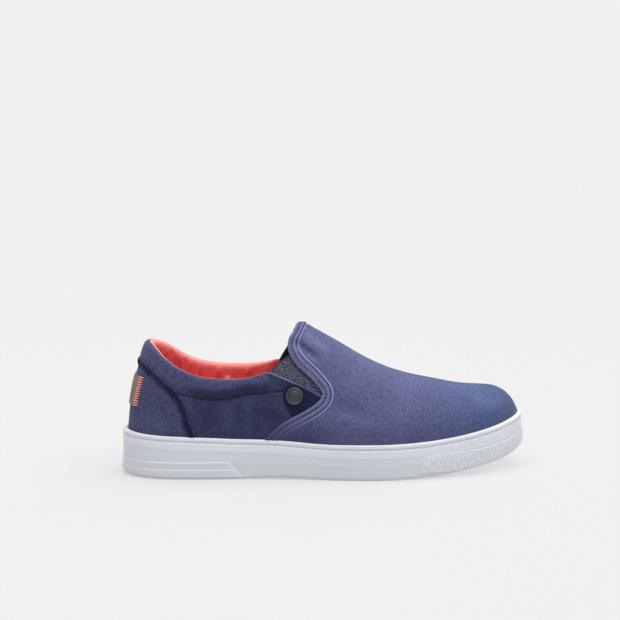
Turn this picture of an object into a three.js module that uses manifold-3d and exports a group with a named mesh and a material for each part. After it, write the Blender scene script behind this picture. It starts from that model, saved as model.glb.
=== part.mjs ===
// A slip-on sneaker for the right foot, standing empty on its sole, in millimetres.
// X runs from the heel to the toe, Z is up, and the outer side of the foot is at -Y.
// The upper, gores, badge and heel patch are cut from one last surface, and the cup sole is cut by it too.
import * as THREE from "three";
import { mergeVertices } from "three/addons/utils/BufferGeometryUtils.js";
import Module from "manifold-3d";

const wasm = await Module();
wasm.setup();

// Driving dimensions of the shoe
const soleLength = 291;
const ballWidth = 103;
const heelRadius = 36;
const toeRadius = 37;
const instepHeight = 107.5;
const collarHeight = 96.5;

// Cup sole
const wallHeight = 25;
const toeSpring = 12.5;
const springStart = 0.62;
const springPower = 2.5;
const archHeight = 1.2;
const archStart = 0.26;
const archEnd = 0.54;
const ballFloor = 7.5;
const heelFloor = 14;
const rimThickness = 3.4;
const rimRound = 0.6;
const lipHeight = 4.4;
const lipRound = 0.4;
const lipDepth = 0.7;
const lipGroove = 0.9;
const bandHeight = 9.5;
const bandStep = 0.2;
const bandRound = 0.8;
const wallDraft = 1.9;
const draftEnd = 0.65;

// Ledges round the heel wall and the textured panel round the toe wall
const ledgeHeights = [12.6, 7.3];
const ledgeFoot = 1.5;
const ledgeStep = 0.7;
const ledgeEnd = 80;
const ledgeSlant = 0.9;
const toePanelStart = 0.745;
const toePanelStep = 0.4;
const toePanelFoot = 4.2;
const toePanelTop = 9.2;

// Tread grooves under the sole
const grooveDepth = 1.6;
const grooveWidth = 5;
const groovePitch = 13;
const grooveMargin = 15;
const grooveRows = [
  { from: 0.085, count: 4 },
  { from: 0.44, count: 9 },
];

// Cloth upper
const wall = 2;
const overlay = 0.9;
const seamRaise = 0.7;
const seamWidth = 4.5;
const padThickness = 7;
const padBulge = 1.3;
const padDepth = 15;
const padTaper = 0.09;
const cornerThickness = 3.4;
const cornerDepth = 7;

// Elastic gores, insole, badge, button and heel patch
const goreThickness = 1.4;
const goreOverlap = 4.5;
const goreTopOuter = 0.845;
const goreTopInner = 0.8;
const insoleThickness = 5;
const insoleRound = 1;
const patchThickness = 1;
const heelPatchWidth = 34;
const heelPatchFoot = 50;
const heelPatchHeight = 21.3;
const buttonDiameter = 12.7;
const buttonHeight = 1.8;
const buttonAlong = 0.4345;
const buttonUp = 58.5;

// Running gap between pieces that touch
const gap = 0.3;

// Resolution of the lofts
const columns = 78;
const rowShares = [0, 0.14, 0.28, 0.41, 0.53, 0.64, 0.74, 0.83, 0.9, 0.95, 0.985, 1];
const padColumns = 44;
const collarSteps = 16;
const seamSteps = 16;
const notchSteps = 14;
const vampSteps = 22;
const goreSteps = 6;
const badgeSteps = 40;
const panelSteps = 8;
const buttonSides = 24;
const halvings = 30;

// Plan of the sole: axis and half width are shares of the ball width, and +axis is towards the inner side
const PLAN = [
  { along: 0.07, axis: 0.0, half: 0.311 },
  { along: 0.15, axis: 0.0, half: 0.369 },
  { along: 0.28, axis: -0.015, half: 0.364 },
  { along: 0.42, axis: -0.04, half: 0.374 },
  { along: 0.55, axis: -0.035, half: 0.447 },
  { along: 0.66, axis: -0.005, half: 0.5 },
  { along: 0.76, axis: 0.034, half: 0.485 },
  { along: 0.87, axis: 0.068, half: 0.405 },
  { along: 0.95, axis: 0.087, half: 0.288 },
];
const toeAxis = 0.097;
const fallStart = 0.42;
const fallLength = 0.25;

// Side of the sole: rim and the edge's round are shares of the wall height, seat runs from ball to heel floor
const SIDE = [
  { along: 0.0, rim: 1.305, seat: 1, round: 0.22 },
  { along: 0.05, rim: 1.255, seat: 1, round: 0.16 },
  { along: 0.144, rim: 1.208, seat: 1, round: 0.11 },
  { along: 0.231, rim: 1.165, seat: 0.97, round: 0.1 },
  { along: 0.344, rim: 1.085, seat: 0.75, round: 0.1 },
  { along: 0.444, rim: 1.015, seat: 0.42, round: 0.1 },
  { along: 0.57, rim: 0.996, seat: 0.1, round: 0.1 },
  { along: 0.7, rim: 1.0, seat: 0, round: 0.12 },
  { along: 0.9, rim: 1.012, seat: 0, round: 0.2 },
  { along: 1.0, rim: 1.04, seat: 0, round: 0.32 },
];

// Crest of the last above the sole's underside: height is a share of the instep height
const CREST = [
  { along: 0.182, height: 1.19 },
  { along: 0.337, height: 1.1 },
  { along: 0.42, height: 1.01 },
  { along: 0.451, height: 0.98 },
  { along: 0.48, height: 0.941 },
  { along: 0.529, height: 0.866 },
  { along: 0.589, height: 0.762 },
  { along: 0.649, height: 0.676 },
  { along: 0.709, height: 0.615 },
  { along: 0.769, height: 0.569 },
  { along: 0.829, height: 0.522 },
  { along: 0.89, height: 0.487 },
];

// Sections of the last: each rib rises from the sole at along to the crest at top, moved sideways by lean
const SECTIONS = [
  { along: 0.0, top: 0.2, lean: 0.0, fullness: 2.0 },
  { along: 0.15, top: 0.245, lean: 0.0, fullness: 2.15 },
  { along: 0.3, top: 0.335, lean: 0.0, fullness: 2.2 },
  { along: 0.4, top: 0.43, lean: 0.005, fullness: 2.15 },
  { along: 0.5, top: 0.515, lean: 0.015, fullness: 2.2 },
  { along: 0.6, top: 0.592, lean: 0.03, fullness: 2.3 },
  { along: 0.7, top: 0.668, lean: 0.05, fullness: 2.4 },
  { along: 0.85, top: 0.785, lean: 0.075, fullness: 2.5 },
  { along: 1.0, top: 0.89, lean: 0.09, fullness: 2.5 },
];

// Collar line on the outer and inner side, as shares of the collar height
const COLLAR = [
  { along: 0.03, outer: 1.0, inner: 1.0 },
  { along: 0.06, outer: 1.0, inner: 1.0 },
  { along: 0.075, outer: 0.989, inner: 0.989 },
  { along: 0.086, outer: 0.968, inner: 0.976 },
  { along: 0.1, outer: 0.93, inner: 0.955 },
  { along: 0.127, outer: 0.862, inner: 0.9 },
  { along: 0.155, outer: 0.812, inner: 0.842 },
  { along: 0.196, outer: 0.762, inner: 0.793 },
  { along: 0.236, outer: 0.74, inner: 0.773 },
  { along: 0.28, outer: 0.735, inner: 0.768 },
  { along: 0.325, outer: 0.746, inner: 0.77 },
  { along: 0.371, outer: 0.785, inner: 0.79 },
];
const collarCorner = 0.371;
const frontBow = 0.05;
const goreBow = 0.06;

// Rear edge of the vamp: height is a share of the instep height, outer and inner are shares of the length
const VAMP_EDGE = [
  { height: 0.15, outer: 0.338, inner: 0.338 },
  { height: 0.26, outer: 0.36, inner: 0.362 },
  { height: 0.31, outer: 0.379, inner: 0.383 },
  { height: 0.37, outer: 0.406, inner: 0.414 },
  { height: 0.44, outer: 0.452, inner: 0.463 },
  { height: 0.505, outer: 0.49, inner: 0.503 },
  { height: 0.535, outer: 0.5, inner: 0.514 },
  { height: 0.565, outer: 0.502, inner: 0.517 },
  { height: 0.612, outer: 0.49, inner: 0.505 },
  { height: 0.673, outer: 0.468, inner: 0.483 },
  { height: 0.738, outer: 0.441, inner: 0.456 },
  { height: 0.79, outer: 0.427, inner: 0.441 },
  { height: 0.84, outer: 0.419, inner: 0.431 },
  { height: 0.89, outer: 0.421, inner: 0.429 },
  { height: 0.935, outer: 0.429, inner: 0.433 },
  { height: 0.985, outer: 0.441, inner: 0.442 },
  { height: 1.05, outer: 0.459, inner: 0.459 },
  { height: 1.12, outer: 0.48, inner: 0.48 },
];
const notchHeight = 0.545;

// Counter seam round the heel: height is a share of the collar height
const COUNTER_SEAM = [
  { along: -0.02, height: 0.845 },
  { along: 0.044, height: 0.838 },
  { along: 0.078, height: 0.772 },
  { along: 0.109, height: 0.694 },
  { along: 0.136, height: 0.613 },
  { along: 0.152, height: 0.518 },
  { along: 0.16, height: 0.407 },
  { along: 0.17, height: 0.31 },
  { along: 0.176, height: 0.22 },
];

// Badge patch under the button: both columns are shares of the button's diameter, from the button's centre
const BADGE = [
  { along: -0.64, up: 0.2 },
  { along: -0.52, up: 0.5 },
  { along: -0.22, up: 0.67 },
  { along: 0.12, up: 0.64 },
  { along: 0.7, up: 0.42 },
  { along: 1.3, up: 0.02 },
  { along: 1.75, up: -0.35 },
  { along: 1.6, up: -0.55 },
  { along: 0.85, up: -0.78 },
  { along: 0.1, up: -1.12 },
  { along: -0.18, up: -1.05 },
  { along: -0.55, up: -0.4 },
];

// Natural cubic spline through table columns, carried on in a straight line past its ends
function splineOf(xs, ys) {
  const n = xs.length;
  const second = new Array(n).fill(0);
  const work = new Array(n).fill(0);
  for (let i = 1; i < n - 1; i++) {
    const before = xs[i] - xs[i - 1];
    const after = xs[i + 1] - xs[i];
    const slopeChange = (ys[i + 1] - ys[i]) / after - (ys[i] - ys[i - 1]) / before;
    const pivot = 2 * (before + after) - before * work[i - 1];
    work[i] = after / pivot;
    second[i] = (6 * slopeChange - before * second[i - 1]) / pivot;
  }
  for (let i = n - 2; i > 0; i--) second[i] -= work[i] * second[i + 1];
  return (x) => {
    let i = 0;
    while (i < n - 2 && x > xs[i + 1]) i++;
    const h = xs[i + 1] - xs[i];
    const inside = Math.min(xs[n - 1], Math.max(xs[0], x));
    const a = (xs[i + 1] - inside) / h;
    const b = (inside - xs[i]) / h;
    const value =
      a * ys[i] + b * ys[i + 1] + ((a ** 3 - a) * second[i] + (b ** 3 - b) * second[i + 1]) * (h * h) / 6;
    if (x === inside) return value;
    const end = x < xs[0] ? -1 / 3 : 1 / 3;
    const slope = (ys[i + 1] - ys[i]) / h + end * h * (second[x < xs[0] ? i + 1 : i] / 2);
    return value + slope * (x - inside);
  };
}

function columnOf(table, key, value) {
  return splineOf(
    table.map((row) => row[key]),
    table.map((row) => row[value]),
  );
}

const smooth = (x) => {
  const s = Math.min(1, Math.max(0, x));
  return s * s * (3 - 2 * s);
};

// The value between two bounds at which a test turns true, found by halving
function turningPoint(low, high, isPast) {
  for (let i = 0; i < halvings; i++) {
    const middle = (low + high) / 2;
    if (isPast(middle)) high = middle;
    else low = middle;
  }
  return low;
}

// Plan outline of the sole: turn goes from 0 at the heel's back, by the outer side, to pi at the toe's tip
const stationOf = (turn) => (1 - Math.cos(turn)) / 2;
const axisAt = splineOf(
  [0, ...PLAN.map((r) => r.along), 1],
  [0, ...PLAN.map((r) => r.axis * ballWidth), toeAxis * ballWidth],
);
const roundOf = (along) => 2 * Math.sqrt(along * (1 - along));
const noseOf = (radius) => Math.sqrt((radius * soleLength) / 2);
const reachAt = splineOf(
  [0, ...PLAN.map((r) => r.along), 1],
  [noseOf(heelRadius), ...PLAN.map((r) => (r.half * ballWidth) / roundOf(r.along)), noseOf(toeRadius)],
);

function planPoint(turn) {
  const along = stationOf(turn);
  return new THREE.Vector2(along * soleLength, axisAt(along) - reachAt(along) * Math.sin(turn));
}

function outline(turn, inset) {
  const step = 1e-3;
  const tangent = planPoint(turn + step).sub(planPoint(turn - step)).normalize();
  return planPoint(turn).add(new THREE.Vector2(-tangent.y, tangent.x).multiplyScalar(inset));
}

// Heights along the sole: flat under the heel and the ball, with a low arch between and the toe turned up
function bottomAt(along) {
  const arch = Math.min(1, Math.max(0, (along - archStart) / (archEnd - archStart)));
  const spring = Math.max(0, (along - springStart) / (1 - springStart));
  return archHeight * Math.sin(Math.PI * arch) ** 2 + toeSpring * spring ** springPower;
}
const rimShare = columnOf(SIDE, "along", "rim");
const seatShare = columnOf(SIDE, "along", "seat");
const roundShare = columnOf(SIDE, "along", "round");
const rimAt = (along) => bottomAt(along) + wallHeight * rimShare(along);
const floorAt = (along) =>
  bottomAt(along) + ballFloor + (heelFloor - ballFloor) * Math.max(0, seatShare(along));

// The last: a rib from the floor of the cup to the crest, for each turn round the plan
const crestTop = columnOf(SECTIONS, "along", "top");
const crestLean = columnOf(SECTIONS, "along", "lean");
const fullnessAt = columnOf(SECTIONS, "along", "fullness");
const crestShare = columnOf(CREST, "along", "height");

const crestAt = (along) => bottomAt(along) + crestShare(along) * instepHeight;

function lastPoint(turn, climb) {
  const along = stationOf(turn);
  const foot = outline(turn, rimThickness);
  const topAlong = crestTop(along);
  const top = new THREE.Vector3(topAlong * soleLength, crestLean(along) * ballWidth, crestAt(topAlong));
  const power = 2 / fullnessAt(along);
  const angle = (climb * Math.PI) / 2;
  const across = climb >= 1 ? 1 : 1 - Math.cos(angle) ** power;
  const up = Math.sin(angle) ** power;
  const footHeight = floorAt(foot.x / soleLength) + gap;
  // In front of the throat a rib falls away from the crest as the crest itself does
  const step = 1e-3;
  const crestSlope = (crestAt(topAlong + step) - crestAt(topAlong - step)) / (2 * step * soleLength);
  const reach = (foot.x - top.x) * (1 - across);
  const fall = crestSlope * reach * up ** 2 * smooth((along - fallStart) / fallLength);
  return new THREE.Vector3(
    foot.x + (top.x - foot.x) * across,
    foot.y + (top.y - foot.y) * across,
    footHeight + (top.z - footHeight) * up + fall,
  );
}

function sideNormal(turn, climb) {
  const step = 1e-3;
  const low = Math.max(step, climb - step);
  const high = Math.min(1 - step, climb + step);
  const rise = lastPoint(turn, Math.max(high, 2 * step)).sub(lastPoint(turn, Math.min(low, 1 - 2 * step)));
  const middle = Math.min(climb, 1 - step);
  const round = lastPoint(turn + step, middle).sub(lastPoint(turn - step, middle));
  return round.cross(rise).normalize();
}

// At the crest both sides share one normal, and at the foot the wall is upright
function lastNormal(turn, climb) {
  const normal = sideNormal(turn, climb);
  if (climb >= 1) return normal.add(sideNormal(2 * Math.PI - turn, climb)).normalize();
  return climb <= 0 ? normal.setZ(0).normalize() : normal;
}

// Collar line
const collarOuter = columnOf(COLLAR, "along", "outer");
const collarInner = columnOf(COLLAR, "along", "inner");

function collarAt(x, outerSide) {
  const share = Math.min(collarCorner, Math.max(COLLAR[0].along, x / soleLength));
  return collarHeight * (outerSide ? collarOuter(share) : collarInner(share));
}

// Climb at which a rib is the given depth below the collar line
function climbBelowCollar(turn, depth) {
  return turningPoint(0, 1, (climb) => {
    const p = lastPoint(turn, climb);
    return p.z > collarAt(p.x, turn >= 0) - depth;
  });
}

// Climb at which a rib reaches a height
const climbTo = (turn, height) => turningPoint(0, 1, (climb) => lastPoint(turn, climb).z > height);

// Solids
function solidOf(geometry) {
  const bare = geometry.index ? geometry.toNonIndexed() : geometry.clone();
  bare.deleteAttribute("normal");
  bare.deleteAttribute("uv");
  const merged = mergeVertices(bare, 1e-4);
  return new wasm.Manifold(
    new wasm.Mesh({
      numProp: 3,
      vertProperties: new Float32Array(merged.attributes.position.array),
      triVerts: new Uint32Array(merged.index.array),
    }),
  );
}

function geometryOf(solid) {
  const mesh = solid.getMesh();
  const geometry = new THREE.BufferGeometry();
  geometry.setAttribute("position", new THREE.BufferAttribute(mesh.vertProperties, 3));
  geometry.setIndex(new THREE.BufferAttribute(mesh.triVerts, 1));
  return geometry;
}

// Collects quads and gives them back as one geometry
class Skin {
  constructor() {
    this.corners = [];
  }
  triangle(a, b, c) {
    for (const p of [a, b, c]) this.corners.push(p.x, p.y, p.z);
  }
  quad(a, b, c, d) {
    this.triangle(a, b, c);
    this.triangle(a, c, d);
  }
  // A band between two rings; the diagonals run the same way when it faces inwards
  strip(lower, upper, inward = false) {
    const n = lower.length;
    for (let i = 0; i < n; i++) {
      const next = (i + 1) % n;
      if (inward) this.quad(lower[i], upper[i], upper[next], lower[next]);
      else this.quad(lower[i], lower[next], upper[next], upper[i]);
    }
  }
  // A face that closes a ring straight across, from each outer-side point to the inner-side point beside it
  cap(ring, facingUp) {
    const half = ring.length / 2;
    for (let i = 0; i < half; i++) {
      const corners = [ring[i], ring[i + 1], ring[(ring.length - i - 1) % ring.length]];
      corners.push(ring[(ring.length - i) % ring.length]);
      if (!facingUp) corners.reverse();
      this.quad(...corners);
    }
  }
  // A face that closes a ring round its middle point
  fan(ring, reversed) {
    const middle = ring.reduce((sum, p) => sum.add(p), new THREE.Vector3()).divideScalar(ring.length);
    for (let i = 0; i < ring.length; i++) {
      const next = ring[(i + 1) % ring.length];
      if (reversed) this.triangle(middle, next, ring[i]);
      else this.triangle(middle, ring[i], next);
    }
  }
  solid() {
    const positions = [];
    for (let i = 0; i < this.corners.length; i += 9) {
      const [a, b, c] = [0, 3, 6].map((k) => this.corners.slice(i + k, i + k + 3).join());
      if (a !== b && b !== c && c !== a) positions.push(...this.corners.slice(i, i + 9));
    }
    const geometry = new THREE.BufferGeometry();
    geometry.setAttribute("position", new THREE.Float32BufferAttribute(positions, 3));
    return solidOf(geometry);
  }
}

const turns = Array.from({ length: columns }, (_, i) => (2 * Math.PI * i) / columns);

// A point of the last at a column and climb, moved outwards; both sides give one point on the crest
function facePoint(column, climb, offset) {
  const onCrest = climb >= 1 && column > columns / 2;
  const turn = onCrest ? turns[columns - column] : turns[column];
  return lastPoint(turn, climb).add(lastNormal(turn, climb).multiplyScalar(offset));
}

const facesOfRows = (offset) =>
  rowShares.map((share) => turns.map((_, column) => facePoint(column, share, offset)));

// A hollow shell between two distances from the last, closed over the crest and open underneath
function shell(outer, inner) {
  const skin = new Skin();
  const outside = facesOfRows(outer);
  const inside = facesOfRows(inner);
  for (let i = 0; i < rowShares.length - 1; i++) {
    skin.strip(outside[i], outside[i + 1]);
    skin.strip(inside[i], inside[i + 1], true);
  }
  skin.strip(inside[0], outside[0]);
  return skin.solid();
}

// The whole last grown by a distance, closed underneath a little lower than the upper's foot
function lastForm(offset, drop) {
  const skin = new Skin();
  const rows = facesOfRows(offset);
  for (const p of rows[0]) p.z -= drop;
  for (let i = 0; i < rows.length - 1; i++) skin.strip(rows[i], rows[i + 1]);
  skin.cap(rows[0], false);
  return skin.solid();
}

// Section of the padded collar roll: depth below the collar line and distance out from the last
function padSection(x) {
  const share = smooth((collarCorner - x / soleLength) / padTaper);
  const thick = cornerThickness + (padThickness - cornerThickness) * share;
  const depth = cornerDepth + (padDepth - cornerDepth) * share;
  const radius = thick / 2;
  const bulge = padBulge * share;
  const rise = [0, 0.2, 0.4, 0.6, 0.8, 1].map((part) => {
    const angle = part * Math.PI;
    return { depth: radius * (1 - Math.sin(angle)), out: bulge - radius + radius * Math.cos(angle) };
  });
  return [
    { depth: depth + wall, out: -wall * 0.7 },
    { depth, out: -wall * 0.1 },
    { depth: depth * 0.75, out: bulge * 0.7 },
    { depth: radius + (depth - radius) * 0.35, out: bulge },
    ...rise,
    { depth: radius + (depth - radius) * 0.5, out: bulge - thick },
    { depth, out: -wall - (thick - wall) * 0.4 },
    { depth: depth + wall * 1.5, out: -wall * 0.9 },
  ];
}

function padRing(turn) {
  const line = lastPoint(turn, climbBelowCollar(turn, 0));
  return padSection(line.x).map(({ depth, out }) => {
    const climb = climbBelowCollar(turn, depth);
    return lastPoint(turn, climb).add(lastNormal(turn, climb).multiplyScalar(out));
  });
}

// Turn of the rib that meets the collar line at its corner
function cornerTurn(side) {
  const isPastCorner = (turn) =>
    lastPoint(side * turn, climbBelowCollar(side * turn, 0)).x > collarCorner * soleLength;
  return side * turningPoint(0, Math.PI / 2, isPastCorner);
}

// The roll, from the corner on the outer side round the heel to the corner on the inner side
function padSolid() {
  const from = cornerTurn(1);
  const to = cornerTurn(-1);
  const turnOf = (column) => from + ((to - from) * column) / padColumns;
  const rings = Array.from({ length: padColumns + 1 }, (_, column) => padRing(turnOf(column)));
  const skin = new Skin();
  for (let i = 0; i < padColumns; i++) skin.strip(rings[i], rings[i + 1]);
  skin.fan(rings[0], true);
  skin.fan(rings[padColumns], false);
  return skin.solid();
}

// A prism through one side of the shoe from an outline in side view, given as points of length and height
const farOut = 2 * ballWidth;
const crestMiddle = crestLean(collarCorner) * ballWidth;

function sidePrism(points, outerSide) {
  const shape = new THREE.Shape(points);
  const prism = new THREE.ExtrudeGeometry(shape, { depth: farOut, bevelEnabled: false });
  prism.rotateX(Math.PI / 2);
  prism.translate(0, outerSide ? crestMiddle : crestMiddle + farOut, 0);
  return solidOf(prism);
}

const bothSides = (outlineOf) => sidePrism(outlineOf(true), true).add(sidePrism(outlineOf(false), false));
const smoothLine = (points, steps) => new THREE.SplineCurve(points).getPoints(steps);

// Lines in side view, as points of length and height
const vampEdgeOuter = columnOf(VAMP_EDGE, "height", "outer");
const vampEdgeInner = columnOf(VAMP_EDGE, "height", "inner");
const vampEdgeAt = (heightShare, outerSide) =>
  soleLength * (outerSide ? vampEdgeOuter(heightShare) : vampEdgeInner(heightShare));

function vampEdgeLine(fromShare, toShare, steps, outerSide, forward) {
  return Array.from({ length: steps + 1 }, (_, i) => {
    const share = fromShare + ((toShare - fromShare) * i) / steps;
    return new THREE.Vector2(vampEdgeAt(share, outerSide) + forward, share * instepHeight);
  });
}

// Front edge of the quarter, from the collar's corner down to the notch
function quarterFront(outerSide, drop) {
  const corner = new THREE.Vector2(collarCorner * soleLength, collarAt(collarCorner * soleLength, outerSide));
  const notch = new THREE.Vector2(vampEdgeAt(notchHeight, outerSide), notchHeight * instepHeight);
  const middle = corner.clone().lerp(notch, 0.5);
  middle.y += frontBow * (corner.y - notch.y);
  return [corner, middle, notch].map((p) => new THREE.Vector2(p.x, p.y - drop));
}

const highUp = 2 * instepHeight;
const topShare = VAMP_EDGE[VAMP_EDGE.length - 1].height;
const lowShare = VAMP_EDGE[0].height;

// Everything above the middle of the collar roll, in the gore's notch and behind the throat
function openingOutline(outerSide) {
  const behind = -farOut / 4;
  const cornerX = collarCorner * soleLength;
  const collarLine = Array.from({ length: collarSteps }, (_, i) => {
    const x = (cornerX * i) / collarSteps;
    return new THREE.Vector2(x, collarAt(x, outerSide) - cornerThickness);
  });
  return [
    new THREE.Vector2(behind, collarAt(0, outerSide) - cornerThickness),
    ...collarLine,
    ...quarterFront(outerSide, 0),
    ...vampEdgeLine(notchHeight, topShare, notchSteps, outerSide, 0).slice(1),
    new THREE.Vector2(soleLength * vampEdgeOuter(topShare), highUp),
    new THREE.Vector2(behind, highUp),
  ];
}

// Everything in front of the vamp's rear edge, or of a line that runs forward of it
function vampOutline(outerSide, forward) {
  const edge = vampEdgeLine(lowShare, topShare, vampSteps, outerSide, forward);
  return [
    new THREE.Vector2(edge[0].x, -highUp),
    new THREE.Vector2(2 * soleLength, -highUp),
    new THREE.Vector2(2 * soleLength, highUp),
    new THREE.Vector2(edge[edge.length - 1].x, highUp),
    ...edge.reverse(),
  ];
}

// A band of constant width along a line in side view
function bandOutline(line, width) {
  const sideOf = (sign) =>
    line.map((p, i) => {
      const before = line[Math.max(0, i - 1)];
      const after = line[Math.min(line.length - 1, i + 1)];
      const tangent = after.clone().sub(before).normalize();
      return p.clone().add(new THREE.Vector2(-tangent.y, tangent.x).multiplyScalar((sign * width) / 2));
    });
  return [...sideOf(1), ...sideOf(-1).reverse()];
}

const counterLine = smoothLine(
  COUNTER_SEAM.map((row) => new THREE.Vector2(row.along * soleLength, row.height * collarHeight)),
  seamSteps,
);
const seamBand = (width) => bothSides(() => bandOutline(counterLine, width));
const vampPart = (forward) => bothSides((outerSide) => vampOutline(outerSide, forward));

// Upper: one hollow wall with the padded collar, the vamp as a step in it, and the raised counter seam
function upperSolid() {
  const vamp = shell(overlay, -wall / 2).intersect(vampPart(0));
  const seam = shell(seamRaise, -wall / 2).intersect(seamBand(seamWidth));
  const cloth = shell(0, -wall).add(vamp).add(seam);
  return cloth.subtract(bothSides(openingOutline)).add(padSolid());
}

// Gore: elastic sheet behind the notch, held under the quarter's front edge and the vamp's rear edge
function goreOutline(outerSide) {
  const front = quarterFront(outerSide, goreOverlap);
  const corner = quarterFront(outerSide, 0)[0];
  const goreTop = outerSide ? goreTopOuter : goreTopInner;
  const vampLine = vampEdgeLine(goreTop, notchHeight, goreSteps, outerSide, goreOverlap);
  const topMiddle = corner.clone().lerp(vampLine[0], 0.5);
  topMiddle.y += goreBow * (vampLine[0].y - corner.y);
  return [
    new THREE.Vector2(corner.x + gap, corner.y - goreOverlap),
    new THREE.Vector2(corner.x + gap, corner.y - gap),
    topMiddle,
    ...vampLine,
    front[2],
    front[1],
  ];
}

function goreSolid(outerSide) {
  const outer = -wall - gap;
  return shell(outer, outer - goreThickness).intersect(sidePrism(goreOutline(outerSide), outerSide));
}

// Badge patch on the outer quarter, cut back from the vamp's edge and the quarter's front edge
const buttonX = buttonAlong * soleLength;

function badgeSolid() {
  const points = BADGE.map(
    (row) => new THREE.Vector2(buttonX + row.along * buttonDiameter, buttonUp + row.up * buttonDiameter),
  );
  const plate = shell(gap + patchThickness, gap).intersect(sidePrism(smoothClosed(points, badgeSteps), true));
  const above = quarterFront(true, 2 * gap);
  const notchArea = [
    new THREE.Vector2(above[0].x - goreOverlap, highUp),
    new THREE.Vector2(above[0].x - goreOverlap, above[0].y),
    ...above,
    new THREE.Vector2(above[2].x + goreOverlap, above[2].y),
    new THREE.Vector2(above[2].x + goreOverlap, highUp),
  ];
  return plate.subtract(sidePrism(vampOutline(true, -2 * gap), true)).subtract(sidePrism(notchArea, true));
}

function smoothClosed(points, steps) {
  const curve = new THREE.CatmullRomCurve3(
    points.map((p) => new THREE.Vector3(p.x, p.y, 0)),
    true,
  );
  return curve
    .getPoints(steps)
    .slice(0, steps)
    .map((p) => new THREE.Vector2(p.x, p.y));
}

// Heel patch, wrapped round the back of the heel
function heelPatchSolid() {
  const block = new THREE.BoxGeometry(soleLength / 4, heelPatchWidth, heelPatchHeight);
  block.translate(0, 0, heelPatchFoot + heelPatchHeight / 2);
  return shell(gap + patchThickness, gap).intersect(solidOf(block));
}

// The point of the last that shows at a length and height in side view, with its outward normal
function surfaceAt(x, z, outerSide) {
  const sideTurn = (turn) => (outerSide ? turn : 2 * Math.PI - turn);
  const isPast = (turn) => lastPoint(sideTurn(turn), climbTo(sideTurn(turn), z)).x > x;
  const turn = sideTurn(turningPoint(0, Math.PI, isPast));
  const climb = climbTo(turn, z);
  return { point: lastPoint(turn, climb), normal: lastNormal(turn, climb) };
}

// Snap button: a low disc with a rolled rim, turned about its own axis
function buttonGeometry() {
  const radius = buttonDiameter / 2;
  const rim = buttonHeight * 0.55;
  const profile = [
    [0, 0],
    [radius - rim * 0.4, 0],
    [radius, rim * 0.7],
    [radius - rim * 0.2, buttonHeight * 0.85],
    [radius - rim, buttonHeight],
    [radius - rim * 1.9, buttonHeight * 0.8],
    [0, buttonHeight * 0.86],
  ];
  return new THREE.LatheGeometry(
    profile.map(([x, y]) => new THREE.Vector2(x, y)),
    buttonSides,
  );
}

// Insole inside the upper, on the floor of the cup
function insoleSolid() {
  const inward = -wall - gap;
  const ringAt = (height, inset) =>
    turns.map((turn, column) => {
      const foot = lastPoint(turn, 0).z;
      const p = facePoint(column, climbTo(turn, foot + height), inward - inset);
      return p.setZ(floorAt(p.x / soleLength) + gap + height);
    });
  const rings = [
    ringAt(0, 0),
    ringAt(insoleThickness - insoleRound, 0),
    ringAt(insoleThickness, insoleRound),
  ];
  const skin = new Skin();
  skin.strip(rings[0], rings[1]);
  skin.strip(rings[1], rings[2]);
  skin.cap(rings[0], false);
  skin.cap(rings[2], true);
  return skin.solid();
}

// Outer wall of the sole: from the rim down to the tread edge, as drop below the rim and inset of the plan
function wallRows(along) {
  const height = wallHeight * rimShare(along);
  const edgeRound = wallHeight * roundShare(along);
  const draftAt = (drop) => wallDraft * (1 - smooth(drop / (height * draftEnd)));
  return [
    { drop: 0, inset: wallDraft + rimRound },
    { drop: rimRound, inset: wallDraft },
    { drop: lipHeight - lipRound, inset: draftAt(lipHeight) },
    { drop: lipHeight, inset: draftAt(lipHeight) + lipDepth },
    { drop: lipHeight + lipGroove, inset: draftAt(lipHeight) + lipDepth },
    { drop: lipHeight + lipGroove + lipRound, inset: draftAt(lipHeight) - bandStep },
    { drop: bandHeight, inset: draftAt(bandHeight) - bandStep },
    { drop: bandHeight + bandRound, inset: draftAt(bandHeight) + bandStep },
    { drop: height * draftEnd, inset: 0 },
    { drop: height - edgeRound, inset: 0 },
    { drop: height - edgeRound * 0.62, inset: edgeRound * 0.08 },
    { drop: height - edgeRound * 0.29, inset: edgeRound * 0.29 },
    { drop: height, inset: edgeRound },
  ];
}

function soleBlock(outset) {
  const skin = new Skin();
  const count = wallRows(0).length;
  const rings = Array.from({ length: count }, (_, i) =>
    turns.map((turn) => {
      const along = stationOf(turn);
      const row = wallRows(along)[i];
      const p = outline(turn, row.inset - outset);
      return new THREE.Vector3(p.x, p.y, rimAt(along) - row.drop);
    }),
  ).reverse();
  for (let i = 0; i < count - 1; i++) skin.strip(rings[i], rings[i + 1]);
  skin.cap(rings[0], false);
  skin.cap(rings[count - 1], true);
  return skin.solid();
}

// Raised steps of the sole's side, in side view
function ledgeOutline(height) {
  const end = ledgeEnd + (ledgeHeights[0] - height) * ledgeSlant;
  return [
    new THREE.Vector2(-farOut, ledgeFoot),
    new THREE.Vector2(end + (height - ledgeFoot) * ledgeSlant, ledgeFoot),
    new THREE.Vector2(end, height),
    new THREE.Vector2(-farOut, height),
  ];
}

function toePanelOutline() {
  const pastToe = 1.02;
  const shares = Array.from(
    { length: panelSteps + 1 },
    (_, i) => toePanelStart + ((pastToe - toePanelStart) * i) / panelSteps,
  );
  const lower = shares.map((s) => new THREE.Vector2(s * soleLength, bottomAt(s) + toePanelFoot));
  const upper = shares.map((s) => new THREE.Vector2(s * soleLength, rimAt(s) - toePanelTop));
  upper[0].x += toePanelFoot;
  return [...lower, ...upper.reverse()];
}

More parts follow.
